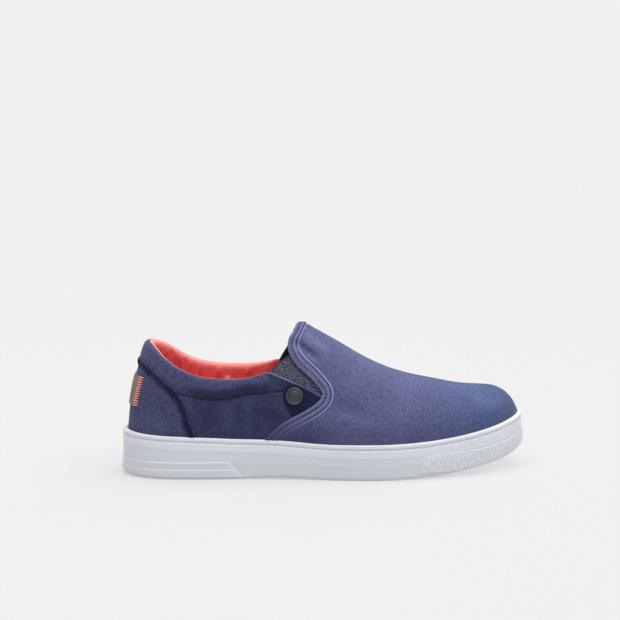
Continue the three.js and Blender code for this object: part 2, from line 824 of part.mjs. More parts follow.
// Cross grooves of the tread, each inside the margin of the sole's underside
function grooveSolids() {
  return grooveRows.flatMap(({ from, count }) =>
    Array.from({ length: count }, (_, i) => {
      const x = from * soleLength + i * groovePitch;
      const along = x / soleLength;
      const reach = 2 * (reachAt(along) * (roundOf(along) / 2) - grooveMargin / 2);
      const height = 2 * grooveDepth;
      const bar = new THREE.BoxGeometry(grooveWidth, 2 * reach - grooveMargin, height);
      bar.translate(x, axisAt(along), bottomAt(along) + grooveDepth - height / 2);
      return solidOf(bar);
    }),
  );
}

function soleSolid() {
  let sole = soleBlock(0);
  ledgeHeights.forEach((height, i) => {
    const prism = bothSides(() => ledgeOutline(height));
    sole = sole.add(soleBlock(ledgeStep * (i + 1)).intersect(prism));
  });
  sole = sole.add(soleBlock(toePanelStep).intersect(bothSides(toePanelOutline)));
  const vampForm = lastForm(overlay + gap, gap).intersect(vampPart(-gap));
  const seamForm = lastForm(seamRaise + gap, gap).intersect(seamBand(seamWidth + 2 * gap));
  sole = sole.subtract(lastForm(gap, gap)).subtract(vampForm).subtract(seamForm);
  return grooveSolids().reduce((left, groove) => left.subtract(groove), sole);
}

// Materials
const canvas = new THREE.MeshStandardMaterial({ color: 0x444a78, roughness: 0.9, metalness: 0 });
const elastic = new THREE.MeshStandardMaterial({ color: 0x3c4259, roughness: 0.95, metalness: 0 });
const rubber = new THREE.MeshStandardMaterial({ color: 0xe4e5ea, roughness: 0.55, metalness: 0 });
const lining = new THREE.MeshStandardMaterial({ color: 0xe0605c, roughness: 0.9, metalness: 0 });
const badgeLeather = new THREE.MeshStandardMaterial({ color: 0x1c2848, roughness: 0.6, metalness: 0 });
const metal = new THREE.MeshStandardMaterial({ color: 0x4a4e58, roughness: 0.45, metalness: 0.8 });
const patchLeather = new THREE.MeshStandardMaterial({ color: 0x77706f, roughness: 0.8, metalness: 0 });

// Assembly, moved so that the origin is under the middle of the sole
const shoe = new THREE.Group();

function addPiece(name, geometry, material) {
  const mesh = new THREE.Mesh(geometry, material);
  mesh.name = name;
  shoe.add(mesh);
  return mesh;
}

addPiece("cup_sole", geometryOf(soleSolid()), rubber);
addPiece("insole", geometryOf(insoleSolid()), lining);
addPiece("upper", geometryOf(upperSolid()), canvas);
addPiece("gore_outer", geometryOf(goreSolid(true)), elastic);
addPiece("gore_inner", geometryOf(goreSolid(false)), elastic);
addPiece("badge_patch", geometryOf(badgeSolid()), badgeLeather);
addPiece("heel_patch", geometryOf(heelPatchSolid()), patchLeather);

const button = addPiece("snap_button", buttonGeometry(), metal);
const seat = surfaceAt(buttonX, buttonUp, true);
const buttonLift = gap + patchThickness + 2 * gap;
button.position.copy(seat.point).addScaledVector(seat.normal, buttonLift);
button.quaternion.setFromUnitVectors(new THREE.Vector3(0, 1, 0), seat.normal);

const box = new THREE.Box3().setFromObject(shoe);
shoe.position.set(-(box.min.x + box.max.x) / 2, -(box.min.y + box.max.y) / 2, 0);

export default shoe;
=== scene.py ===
# A slip-on sneaker for the right foot: canvas upper, elastic gores, padded collar and white cup sole.
# Every piece is lofted again from the solid model's last, finer and with its seams, folds and stitches.
# Lengths are in millimetres in the last's own frame: X from heel to toe, the outer side at -Y, Z up.
import math

import bpy
import numpy as np
from mathutils import Matrix, Vector


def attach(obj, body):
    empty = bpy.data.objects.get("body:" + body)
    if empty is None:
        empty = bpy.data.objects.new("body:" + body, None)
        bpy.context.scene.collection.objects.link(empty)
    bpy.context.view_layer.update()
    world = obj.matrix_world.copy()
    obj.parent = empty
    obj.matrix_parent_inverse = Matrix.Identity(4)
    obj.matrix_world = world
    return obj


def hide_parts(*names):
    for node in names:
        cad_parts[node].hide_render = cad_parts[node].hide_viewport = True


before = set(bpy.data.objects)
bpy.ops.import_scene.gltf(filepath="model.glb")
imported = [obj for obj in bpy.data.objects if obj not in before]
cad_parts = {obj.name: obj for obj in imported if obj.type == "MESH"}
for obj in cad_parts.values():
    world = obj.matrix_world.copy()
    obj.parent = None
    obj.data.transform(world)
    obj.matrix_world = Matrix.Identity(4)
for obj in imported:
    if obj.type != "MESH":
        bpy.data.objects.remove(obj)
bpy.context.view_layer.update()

# Driving dimensions, as in the solid model
SOLE_LENGTH = 291.0
BALL_WIDTH = 103.0
HEEL_RADIUS = 36.0
TOE_RADIUS = 37.0
INSTEP_HEIGHT = 107.5
COLLAR_HEIGHT = 96.5
WALL_HEIGHT = 25.0
TOE_SPRING = 12.5
SPRING_START = 0.62
SPRING_POWER = 2.5
ARCH_HEIGHT = 1.2
ARCH_START = 0.26
ARCH_END = 0.54
BALL_FLOOR = 7.5
HEEL_FLOOR = 14.0
RIM_THICKNESS = 3.4
GAP = 0.3
TOE_AXIS = 0.097
FALL_START = 0.42
FALL_LENGTH = 0.25
COLLAR_CORNERS = {1: 0.371, -1: 0.389}
NOTCH_SHARE = 0.545
ORIGIN = np.array([145.0, 0.862, 0.0])
SIDES = {1: "outer", -1: "inner"}

# Small step for slopes taken by differences
STEP = 1e-3

# Plan of the sole: axis and half width are shares of the ball width
PLAN = dict(
    along=[0.07, 0.15, 0.28, 0.42, 0.55, 0.66, 0.76, 0.87, 0.95],
    axis=[0.0, 0.0, -0.015, -0.04, -0.035, -0.005, 0.034, 0.068, 0.087],
    half=[0.311, 0.369, 0.364, 0.374, 0.447, 0.5, 0.485, 0.405, 0.288],
)

# Side of the sole: rim and round are shares of the wall height, seat runs from the ball's to the heel's floor
SIDE = dict(
    along=[0.0, 0.05, 0.144, 0.231, 0.344, 0.444, 0.57, 0.7, 0.9, 1.0],
    rim=[1.305, 1.255, 1.208, 1.165, 1.085, 1.015, 0.996, 1.0, 1.012, 1.04],
    seat=[1, 1, 1, 0.97, 0.75, 0.42, 0.1, 0, 0, 0],
    round=[0.22, 0.16, 0.11, 0.1, 0.1, 0.1, 0.1, 0.12, 0.2, 0.32],
)

# Crest of the last: height is a share of the instep height
CREST = dict(
    along=[0.182, 0.337, 0.42, 0.451, 0.48, 0.529, 0.589, 0.649, 0.709, 0.769, 0.829, 0.89],
    height=[1.19, 1.1, 1.01, 0.98, 0.941, 0.866, 0.762, 0.676, 0.615, 0.569, 0.522, 0.487],
)

# Ribs of the last: each rises from the sole at along to the crest at top, moved sideways by lean
SECTIONS = dict(
    along=[0.0, 0.15, 0.3, 0.4, 0.5, 0.6, 0.7, 0.85, 1.0],
    top=[0.2, 0.245, 0.335, 0.43, 0.515, 0.592, 0.668, 0.785, 0.89],
    lean=[0.0, 0.0, 0.0, 0.005, 0.015, 0.03, 0.05, 0.075, 0.09],
    fullness=[2.0, 2.15, 2.2, 2.15, 2.2, 2.3, 2.4, 2.5, 2.5],
)

# Collar line on the outer and inner side, as shares of the collar height
COLLAR = dict(
    along=[0.03, 0.06, 0.075, 0.086, 0.1, 0.127, 0.155, 0.196, 0.236, 0.28, 0.325, 0.371],
    outer=[1.0, 1.0, 0.989, 0.968, 0.93, 0.862, 0.812, 0.762, 0.74, 0.735, 0.746, 0.785],
    inner=[1.0, 1.0, 0.989, 0.976, 0.955, 0.9, 0.842, 0.793, 0.773, 0.768, 0.77, 0.79],
)

# Rear edge of the vamp: height is a share of the instep height, outer and inner are shares of the length
VAMP_EDGE = dict(
    height=[0.15, 0.26, 0.31, 0.37, 0.44, 0.505, 0.535, 0.565, 0.612, 0.673, 0.738, 0.79, 0.84, 0.89,
            0.935, 0.985, 1.05, 1.12],
    outer=[0.338, 0.36, 0.379, 0.406, 0.452, 0.49, 0.5, 0.502, 0.49, 0.468, 0.441, 0.427, 0.419, 0.419,
           0.424, 0.434, 0.448, 0.465],
    inner=[0.338, 0.362, 0.383, 0.414, 0.463, 0.503, 0.514, 0.517, 0.505, 0.483, 0.456, 0.441, 0.431, 0.427,
           0.428, 0.435, 0.448, 0.465],
)

# Counter seam round the heel: height is a share of the collar height
COUNTER_SEAM = dict(
    along=[-0.02, 0.05, 0.086, 0.118, 0.145, 0.162, 0.171, 0.183, 0.19],
    height=[0.845, 0.838, 0.772, 0.694, 0.613, 0.518, 0.407, 0.31, 0.22],
)

# Badge patch round the button: both columns are shares of the button's diameter
BADGE = dict(
    along=[-0.64, -0.52, -0.22, 0.12, 0.7, 1.3, 1.75, 1.6, 0.85, 0.1, -0.18, -0.55],
    up=[0.2, 0.5, 0.67, 0.64, 0.42, 0.02, -0.35, -0.55, -0.78, -1.12, -1.05, -0.4],
)

# Pinched line under the collar roll: depth below the collar line in millimetres
PINCH = dict(
    along=[0.0, 0.044, 0.08, 0.13, 0.16, 0.186, 0.239, 0.286, 0.335, 0.371, 0.4, 0.5],
    depth=[15.5, 15.7, 20.0, 21.5, 18.2, 16.2, 15.2, 13.2, 12.4, 14.2, 10.5, 6.0],
)


def spline_of(xs, ys):
    """Natural cubic spline through table columns, carried on in a straight line past its ends."""
    xs, ys = np.asarray(xs, float), np.asarray(ys, float)
    h = np.diff(xs)
    matrix, right = np.eye(len(xs)), np.zeros(len(xs))
    for i in range(1, len(xs) - 1):
        matrix[i, i - 1 : i + 2] = h[i - 1], 2 * (h[i - 1] + h[i]), h[i]
        right[i] = 6 * ((ys[i + 1] - ys[i]) / h[i] - (ys[i] - ys[i - 1]) / h[i - 1])
    second = np.linalg.solve(matrix, right)
    first_slope = (ys[1] - ys[0]) / h[0] - h[0] * second[1] / 6
    last_slope = (ys[-1] - ys[-2]) / h[-1] + h[-1] * second[-2] / 6

    def value_at(x):
        x = np.asarray(x, float)
        inside = np.clip(x, xs[0], xs[-1])
        i = np.clip(np.searchsorted(xs, inside) - 1, 0, len(xs) - 2)
        a = (xs[i + 1] - inside) / h[i]
        b = 1 - a
        bend = ((a**3 - a) * second[i] + (b**3 - b) * second[i + 1]) * h[i] ** 2 / 6
        return a * ys[i] + b * ys[i + 1] + bend + np.where(x < xs[0], first_slope, last_slope) * (x - inside)

    return value_at


def column_of(table, key, value, scale=1.0):
    return spline_of(table[key], np.array(table[value]) * scale)


def limit(x):
    return np.clip(x, 0, 1)


def ramp(x, start=0.0, run=1.0):
    """A smooth rise from 0 at the start to 1 a run later."""
    share = limit((x - start) / run)
    return share * share * (3 - 2 * share)


def between(x, start, rise, end, fall):
    """1 between a start and an end, with a smooth rise and fall."""
    return ramp(x, start, rise) * (1 - ramp(x, end, fall))


def hump(x, width):
    """A bell curve that is 1 at x = 0."""
    return np.exp(-((x / width) ** 2))


def bands(x, table):
    """Bell curves across x, from rows of place, width and strength."""
    return sum(strength * hump(x - at, width) for at, width, strength in table)


def most(*parts):
    """The largest of several marks at each point, kept from 0 to 1."""
    return limit(np.maximum.reduce(np.broadcast_arrays(*parts)))


def unit(vectors):
    return vectors / np.linalg.norm(vectors, axis=-1, keepdims=True)


def summed(steps):
    return np.concatenate([[0], np.cumsum(steps)])


def lifted(plan, height):
    """Plan points with their heights."""
    return np.concatenate([plan, height[..., None]], -1)


def shares_of(count):
    """Shares from 0 to 1 down a column."""
    return np.linspace(0, 1, count)[:, None]


def part_way(first, second, share):
    """Points between two sets of points, by the share of the second."""
    return first * (1 - share[..., None]) + second * share[..., None]


def run_along(points):
    """Length along a line of points, at each of them."""
    return summed(np.linalg.norm(np.diff(points, axis=0), axis=-1))


# The last

plan_along = np.array([0, *PLAN["along"], 1.0])
round_of = 2 * np.sqrt(plan_along[1:-1] * (1 - plan_along[1:-1]))
heel_reach, toe_reach = (math.sqrt(radius * SOLE_LENGTH / 2) for radius in (HEEL_RADIUS, TOE_RADIUS))
axis_at = spline_of(plan_along, [0, *(np.array(PLAN["axis"]) * BALL_WIDTH), TOE_AXIS * BALL_WIDTH])
reach_at = spline_of(plan_along, [heel_reach, *(np.array(PLAN["half"]) * BALL_WIDTH / round_of), toe_reach])
rim_share, seat_share, round_share = (column_of(SIDE, "along", key) for key in ("rim", "seat", "round"))
crest_top, crest_lean = (column_of(SECTIONS, "along", key) for key in ("top", "lean"))
fullness_at = column_of(SECTIONS, "along", "fullness")
crest_share = column_of(CREST, "along", "height")
pinch_depth = column_of(PINCH, "along", "depth")
collar_line = {side: column_of(COLLAR, "along", key, COLLAR_HEIGHT) for side, key in SIDES.items()}
vamp_edge = {side: column_of(VAMP_EDGE, "height", key, SOLE_LENGTH) for side, key in SIDES.items()}


def station_of(turn):
    return (1 - np.cos(turn)) / 2


def plan_point(turn):
    along = station_of(turn)
    return np.stack([along * SOLE_LENGTH, axis_at(along) - reach_at(along) * np.sin(turn)], -1)


def outline(turn, inset):
    tangent = unit(plan_point(turn + STEP) - plan_point(turn - STEP))
    normal = np.stack([-tangent[..., 1], tangent[..., 0]], -1)
    return plan_point(turn) + normal * np.asarray(inset)[..., None]


def bottom_at(along):
    arch = limit((along - ARCH_START) / (ARCH_END - ARCH_START))
    spring = np.clip((along - SPRING_START) / (1 - SPRING_START), 0, None)
    return ARCH_HEIGHT * np.sin(math.pi * arch) ** 2 + TOE_SPRING * spring**SPRING_POWER


def rim_at(along):
    return bottom_at(along) + WALL_HEIGHT * rim_share(along)


def above_rim(points):
    return points[..., 2] - rim_at(limit(points[..., 0] / SOLE_LENGTH))


def floor_at(along):
    return bottom_at(along) + BALL_FLOOR + (HEEL_FLOOR - BALL_FLOOR) * np.maximum(0, seat_share(along))


def crest_at(along):
    return bottom_at(along) + crest_share(along) * INSTEP_HEIGHT


def ribs_at(turn):
    """What one rib of the last needs, for each turn round the plan: foot, top, power and front slope."""
    along = station_of(turn)
    foot = outline(turn, RIM_THICKNESS)
    top_along = crest_top(along)
    foot = lifted(foot, floor_at(foot[..., 0] / SOLE_LENGTH) + GAP)
    top = np.stack([top_along * SOLE_LENGTH, crest_lean(along) * BALL_WIDTH, crest_at(top_along)], -1)
    slope = (crest_at(top_along + STEP) - crest_at(top_along - STEP)) / (2 * STEP * SOLE_LENGTH)
    return foot, top, 2 / fullness_at(along), slope * ramp(along, FALL_START, FALL_LENGTH)


def rib_point(ribs, climb):
    """The point of each rib at a climb, 0 at the cup's floor and 1 on the crest."""
    foot, top, power, slope = ribs
    angle = limit(climb) * math.pi / 2
    across = 1 - np.where(climb >= 1, 0, np.cos(angle)) ** power
    up = np.sin(angle) ** power
    fall = slope * (foot[..., 0] - top[..., 0]) * (1 - across) * up**2
    plan = foot[..., :2] + (top[..., :2] - foot[..., :2]) * across[..., None]
    height = foot[..., 2] + (top[..., 2] - foot[..., 2]) * up + fall
    return lifted(plan, height)


def last_point(turn, climb):
    """The last at a turn round the plan and a climb up its rib."""
    turn, climb = np.broadcast_arrays(turn, climb)
    return rib_point(ribs_at(turn), climb)


def side_normal(turn, climb):
    high = np.maximum(np.minimum(1 - STEP, climb + STEP), 2 * STEP)
    low = np.minimum(np.maximum(STEP, climb - STEP), 1 - 2 * STEP)
    rise = last_point(turn, high) - last_point(turn, low)
    middle = np.minimum(climb, 1 - STEP)
    return unit(np.cross(last_point(turn + STEP, middle) - last_point(turn - STEP, middle), rise))


def last_normal(turn, climb):
    """Outward normal of the last, shared by both sides on the crest and upright at the foot."""
    turn, climb = np.broadcast_arrays(turn, climb)
    normal = side_normal(turn, climb)
    normal = np.where((climb >= 1)[..., None], normal + side_normal(2 * math.pi - turn, climb), normal)
    normal[..., 2] = np.where(climb <= 0, 0, normal[..., 2])
    return unit(normal)


def surface(turn, climb, offset):
    """Points at a distance from the last."""
    return last_point(turn, climb) + last_normal(turn, climb) * np.asarray(offset)[..., None]


def halve(is_past, low, high, *like, times=19):
    """Where a test turns true between two bounds, found by halving, for every point of the arrays given."""
    zero = 0.0 * sum(like)
    low, high = zero + low, zero + high
    for _ in range(times):
        middle = (low + high) / 2
        past = is_past(middle)
        high, low = np.where(past, middle, high), np.where(past, low, middle)
    return low


def climb_to(turn, height):
    """Climb at which each rib reaches a height."""
    ribs = ribs_at(turn + 0 * height)
    return halve(lambda climb: rib_point(ribs, climb)[..., 2] > height, 0, 1, turn, height)


def locate(x, z, side):
    """Turn and climb of the surface at a length and height in side view; side is 1 outer, -1 inner."""

    def is_past(turn):
        return last_point(side * turn, climb_to(side * turn, z))[..., 0] > x

    turn = side * halve(is_past, 0, math.pi, x, z, times=20)
    return turn, climb_to(turn, z)


# Lines in side view

TUCK_OFFSET = -0.3
TUCK_DEPTH = 2.4
TUCK_RUN = 2.6
EDGE_TURNS = (1.0, 2.9)
FRONT_BOW = 0.05
PAST_NOTCH = (12, -4)
EDGE_BLUR = (-1.8, -0.9, 0, 0.9, 1.8)
CHUNK = 20000
notch_height = NOTCH_SHARE * INSTEP_HEIGHT
edge_shares = np.linspace(0.05, 1.2, 260)
EDGES = {side: np.stack([vamp_edge[side](edge_shares), edge_shares * INSTEP_HEIGHT], -1) for side in SIDES}


def line_distance(line, points):
    """Signed side-view distance of points from a line: positive in front of a line that climbs."""
    x, z = points[..., 0], points[..., -1]
    flat = np.stack([x.ravel(), z.ravel()], -1)
    start, step = line[:-1], np.diff(line, axis=0)
    length2 = (step**2).sum(-1)
    result = np.empty(len(flat))
    for first in range(0, len(flat), CHUNK):
        p = flat[first : first + CHUNK, None]
        t = limit(((p - start) * step).sum(-1) / length2)
        away = p - start - t[..., None] * step
        distance2 = (away**2).sum(-1)
        best = distance2.argmin(1)
        rows = np.arange(len(best))
        side = step[best, 1] * away[rows, best, 0] - step[best, 0] * away[rows, best, 1]
        result[first : first + CHUNK] = np.sqrt(distance2[rows, best]) * np.sign(side)
    return result.reshape(x.shape)


def tucked(base, offset):
    """Offset of a cloth layer, drawn in where it goes down behind the cup's rim."""
    share = ramp(above_rim(base), -TUCK_DEPTH, TUCK_RUN)
    return np.where(offset > TUCK_OFFSET, TUCK_OFFSET + (offset - TUCK_OFFSET) * share, offset)


def vamp_turn(climb, distance, side):
    """Turn at which a rib row is at a side-view distance in front of the vamp's rear edge."""

    def is_past(turn):
        return line_distance(EDGES[side], last_point(side * turn, climb)) > distance

    return halve(is_past, *EDGE_TURNS, climb, distance, times=20)


def collar_at(x, side):
    return collar_line[side](np.clip(x / SOLE_LENGTH, COLLAR["along"][0], COLLAR_CORNERS[side]))


def side_top(x, side):
    """Top line of one quarter: the collar, then the front edge from its corner down to the notch."""
    corner_x = COLLAR_CORNERS[side] * SOLE_LENGTH
    corner_z = collar_at(corner_x, side)
    notch_x = vamp_edge[side](NOTCH_SHARE)
    middle_z = (corner_z + notch_height) / 2 + FRONT_BOW * (corner_z - notch_height)
    front_x = [corner_x, (corner_x + notch_x) / 2, notch_x, notch_x + PAST_NOTCH[0]]
    front_z = [corner_z, middle_z, notch_height, notch_height + PAST_NOTCH[1]]
    total = 0
    for at in (x + shift for shift in EDGE_BLUR):
        total = total + np.where(at <= corner_x, collar_at(at, side), np.interp(at, front_x, front_z))
    return total / len(EDGE_BLUR)


def by_side(turn, function):
    """A function's value for the outer side where turn is positive, and for the inner side elsewhere."""
    return np.where(turn >= 0, function(1), function(-1))


def quarter_top(x, turn):
    return by_side(turn, lambda side: side_top(x, side))


def climb_below(turn, depth):
    """Climb at which a rib is a depth below the quarter's top line."""
    ribs = ribs_at(turn + 0 * depth)

    def is_past(climb):
        p = rib_point(ribs, climb)
        return p[..., 2] > quarter_top(p[..., 0], turn) - depth

    return halve(is_past, 0, 1, turn, depth)


# Meshes

THREAD_SIDES = 6
THREAD_RINGS = 6
THREAD_TIP = 0.12
THREAD_TAPER = 0.4


def mesh_piece(name, points, faces, material, uv=None, **marks):
    """A smooth mesh object from points in millimetres, with corner faces given as index rows."""
    mesh = bpy.data.meshes.new(name)
    place = (np.asarray(points).reshape(-1, 3) - ORIGIN) / 1000
    size = faces.shape[1]
    mesh.vertices.add(len(place))
    mesh.vertices.foreach_set("co", place.astype(np.float32).ravel())
    mesh.loops.add(faces.size)
    mesh.loops.foreach_set("vertex_index", faces.astype(np.int32).ravel())
    mesh.polygons.add(len(faces))
    mesh.polygons.foreach_set("loop_start", np.arange(0, faces.size, size, dtype=np.int32))
    mesh.polygons.foreach_set("use_smooth", np.ones(len(faces), bool))
    mesh.update(calc_edges=True)
    if uv is not None:
        layer = mesh.uv_layers.new(name="cloth")
        layer.data.foreach_set("uv", uv.reshape(-1, 2)[faces.ravel()].astype(np.float32).ravel())
    for key, values in marks.items():
        attribute = mesh.attributes.new(key, "FLOAT", "POINT")
        attribute.data.foreach_set("value", np.asarray(values, np.float32).ravel())
    mesh.materials.append(material)
    mesh.validate()
    piece = bpy.data.objects.new(name, mesh)
    bpy.context.scene.collection.objects.link(piece)
    return piece


def grid_faces(rows, columns, wrap=False):
    """Quads of a grid of points; wrap joins its last column to its first."""
    i, j = np.meshgrid(np.arange(rows - 1), np.arange(columns if wrap else columns - 1), indexing="ij")
    next_j = (j + 1) % columns
    corners = [i * columns + j, i * columns + next_j, (i + 1) * columns + next_j, (i + 1) * columns + j]
    return np.stack(corners, -1).reshape(-1, 4)


def grid_uv(points):
    """Real lengths across a grid, in metres, so that a weave keeps its size."""
    u, v = (summed(np.linalg.norm(np.diff(points, axis=k), axis=-1).mean(1 - k)) for k in (1, 0))
    return np.stack(np.meshgrid(u, v), -1) / 1000


def settle(piece, slot, *nodes):
    """The piece rides on the shoe and hides the solids of the model that it stands for; its slot is not used.
    """
    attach(piece, "root")
    if nodes:
        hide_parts(*nodes)


def grid_piece(name, points, material, slot, *nodes, wrap=False, flip=(), **marks):
    """A settled piece from a grid of points and marks; flip turns it over along the axes given."""
    points = np.flip(points, flip)
    marks = {key: np.flip(values, flip) for key, values in marks.items()}
    faces = grid_faces(*points.shape[:2], wrap)
    settle(mesh_piece(name, points, faces, material, grid_uv(points), **marks), slot, *nodes)


def along_path(points, normals, pitch):
    """Points and normals at equal steps along a line."""
    run = run_along(points)
    at = np.linspace(0, run[-1], max(2, int(round(run[-1] / pitch)) + 1))
    place, normal = (
        np.stack([np.interp(at, run, column) for column in rows.T], -1) for rows in (points, normals)
    )
    tangent = unit(np.gradient(place, axis=0))
    return place, unit(normal - (normal * tangent).sum(1, keepdims=True) * tangent)


def thread_piece(name, starts, ends, normals, radius, arch, material, slot):
    """Many short threads in one settled piece, each arched up from its start to its end."""
    t = np.linspace(0, 1, THREAD_RINGS)
    line = starts[:, None] + (ends - starts)[:, None] * t[None, :, None]
    line = line + normals[:, None] * (arch * np.sin(math.pi * t))[None, :, None]
    side = unit(np.cross(unit(ends - starts), normals))
    thickness = radius * np.maximum(THREAD_TIP, np.sin(math.pi * t) ** THREAD_TAPER)
    angle = np.arange(THREAD_SIDES) * 2 * math.pi / THREAD_SIDES
    ring = side[:, None] * np.cos(angle)[None, :, None] + normals[:, None] * np.sin(angle)[None, :, None]
    points = line[:, :, None] + ring[:, None] * thickness[None, :, None, None]
    first = np.arange(len(starts))[:, None, None] * THREAD_RINGS * THREAD_SIDES
    faces = (grid_faces(THREAD_RINGS, THREAD_SIDES, wrap=True) + first).reshape(-1, 4)
    settle(mesh_piece(name, points, faces, material), slot)


# Materials

WEAVE_PITCH = 0.00055
TOE_TONE = (226, 250, 255)
LABEL_TONE = (250, 250, 250)
SHADED_TONE = (186, 190, 200)
OVERLOCK_TONE = (16, 22, 50)


def linear(color):
    """Linear values of a colour given as 0 to 255 display values."""
    c = np.array(color) / 255
    return tuple(np.where(c <= 0.04045, c / 12.92, ((c + 0.055) / 1.055) ** 2.4).tolist())


class Nodes:
    """A new material and short ways to add and join nodes in it."""

    def __init__(self, name, color, roughness, **sockets):
        self.material = bpy.data.materials.new(name)
        self.material.use_nodes = True
        self.tree = self.material.node_tree
        self.shader = self.tree.nodes["Principled BSDF"].inputs
        for key, value in {"Base_Color": (*linear(color), 1), "Roughness": roughness, **sockets}.items():
            self.shader[key.replace("_", " ")].default_value = value
        self.place = self.add("ShaderNodeTexCoord").outputs["Object"]

    def feed(self, socket, value):
        if isinstance(value, bpy.types.NodeSocket):
            self.tree.links.new(value, socket)
        else:
            socket.default_value = value

    def add(self, kind, inputs=None, **settings):
        node = self.tree.nodes.new(kind)
        for key, value in settings.items():
            setattr(node, key, value)
        for key, value in (inputs or {}).items():
            self.feed(node.inputs[key], value)
        return node

    def math(self, operation, a, b=0.0, clamp=False):
        return self.add("ShaderNodeMath", {0: a, 1: b}, operation=operation, use_clamp=clamp).outputs[0]

    def times(self, a, b):
        return self.math("MULTIPLY", a, b)

    def above(self, value, low, gain):
        """How far a value is above a level, times a gain, kept from 0 to 1."""
        return self.math("MULTIPLY", self.math("SUBTRACT", value, low), gain, True)

    def below(self, value, high, gain):
        """How far a value is below a level, times a gain, kept from 0 to 1."""
        return self.math("MULTIPLY", self.math("SUBTRACT", high, value), gain, True)

    def noise(self, vector, scale, detail=2.0, roughness=0.5):
        values = {"Vector": vector, "Scale": scale, "Detail": detail, "Roughness": roughness}
        return self.add("ShaderNodeTexNoise", values).outputs[0]

    def mark(self, name):
        return self.add("ShaderNodeAttribute", attribute_name=name).outputs["Fac"]

    def cloth(self):
        return self.add("ShaderNodeUVMap", uv_map="cloth").outputs[0]

    def split(self, vector):
        return self.add("ShaderNodeSeparateXYZ", {0: vector}).outputs

    def mix(self, factor, a, b, blend="MIX"):
        node = self.add("ShaderNodeMix", {0: factor}, data_type="RGBA", blend_type=blend)
        for socket, value in ((6, a), (7, b)):
            self.feed(node.inputs[socket], (*linear(value), 1) if isinstance(value, tuple) else value)
        return node.outputs[2]

    def finish(self, tone, *bumps):
        """Joins the colour and the bumps, each a height, a distance and a strength, to the shader."""
        self.feed(self.shader["Base Color"], tone)
        under = {}
        for height, distance, strength in bumps:
            values = {"Height": height, "Distance": distance, "Strength": strength, **under}
            under = {"Normal": self.add("ShaderNodeBump", values).outputs[0]}
        self.feed(self.shader["Normal"], under["Normal"])
        return self.material


def weave_height(nodes):
    """Over and under of a plain weave, from the real lengths across the cloth."""
    lengths = nodes.split(nodes.cloth())
    waves = [nodes.math("SINE", nodes.times(lengths[k], math.pi / WEAVE_PITCH)) for k in (0, 1)]
    over = nodes.math("GREATER_THAN", nodes.times(*waves), 0.0)
    under = nodes.math("SUBTRACT", 1.0, over)
    first, second = (nodes.math("ABSOLUTE", wave) for wave in waves)
    return nodes.math("ADD", nodes.times(first, over), nodes.times(second, under))


def canvas_material(name, color, faded, deep, pale, grain_share=1.0, trimmed=False):
    """Washed cotton canvas: weave, slubs, cloudy fading, pale worn folds with painted highlights, and painted
    shade in stitched troughs, creases and the weave's hollows.
    """
    nodes = Nodes(name, color, 0.9, Sheen_Weight=0.08, Sheen_Roughness=0.5, Specular_IOR_Level=0.25)
    height = weave_height(nodes)
    tone = nodes.mix(nodes.above(nodes.noise(nodes.place, 30.0, 4.0, 0.6), 0.4, 1.0), color, faded)
    grains = []
    for scale in ((1300.0, 260.0, 1.0), (260.0, 1300.0, 1.0)):
        stretched = nodes.add("ShaderNodeMapping", {0: nodes.cloth(), "Scale": scale}).outputs[0]
        grains.append((nodes.noise(stretched, 1.0, 2.0, 0.6), 1.5, 1.8))
    grains.append((nodes.noise(nodes.place, 800.0, 2.0, 0.6), 1.8, 2.1))
    for value, light_gain, dark_gain in grains:
        tone = nodes.mix(nodes.below(value, 0.5, dark_gain * grain_share), tone, deep)
        tone = nodes.mix(nodes.above(value, 0.5, light_gain * grain_share), tone, faded)
    # Painted shade: the weave's low spots darkened towards the deep tone.
    tone = nodes.mix(nodes.below(height, 1.0, 0.25), tone, deep)
    # The wear mark pales worn folds and paints highlights on ridges and rolled edges; the shade mark is
    # painted shade.
    for mark, other in (("wear", pale), ("shade", deep)):
        tone = nodes.mix(nodes.mark(mark), tone, other)
    tone = nodes.mix(nodes.mark("toe"), tone, TOE_TONE, "MULTIPLY")
    tone = nodes.mix(nodes.mark("label"), tone, LABEL_TONE)
    if trimmed:
        # Painted shade under the collar roll, where the low mark is set.
        tone = nodes.mix(nodes.mark("low"), tone, SHADED_TONE, "MULTIPLY")
        ragged = nodes.above(nodes.noise(nodes.place, 650.0, 2.0, 0.6), 0.42, 6.0)
        tone = nodes.mix(nodes.times(nodes.mark("band"), ragged), tone, OVERLOCK_TONE)
    return nodes.finish(tone, (height, 0.00016, 0.5), (nodes.noise(nodes.place, 260.0), 0.0005, 0.35))


def elastic_material(name, color, pale, dark):
    """Elastic webbing: close ribs along the stretch, with mottled yarn and painted shade between the ribs."""
    nodes = Nodes(name, color, 0.92, Sheen_Weight=0.1)
    number = nodes.mark("rib")
    rib = nodes.math("ABSOLUTE", nodes.math("SINE", nodes.times(number, math.pi)))
    length = nodes.times(nodes.split(nodes.cloth())[1], 800.0)
    yarn = nodes.noise(nodes.add("ShaderNodeCombineXYZ", {0: length, 1: number}).outputs[0], 1.0, 1.0)
    tone = nodes.mix(nodes.above(yarn, 0.28, 1.7), dark, pale)
    # Painted shade in the grooves between the ribs; the shade mark darkens the bound top edge.
    for factor in (nodes.below(rib, 1.0, 1.1), nodes.mark("shade")):
        tone = nodes.mix(factor, tone, dark)
    return nodes.finish(tone, (rib, 0.0004, 0.7), (yarn, 0.0004, 0.6))


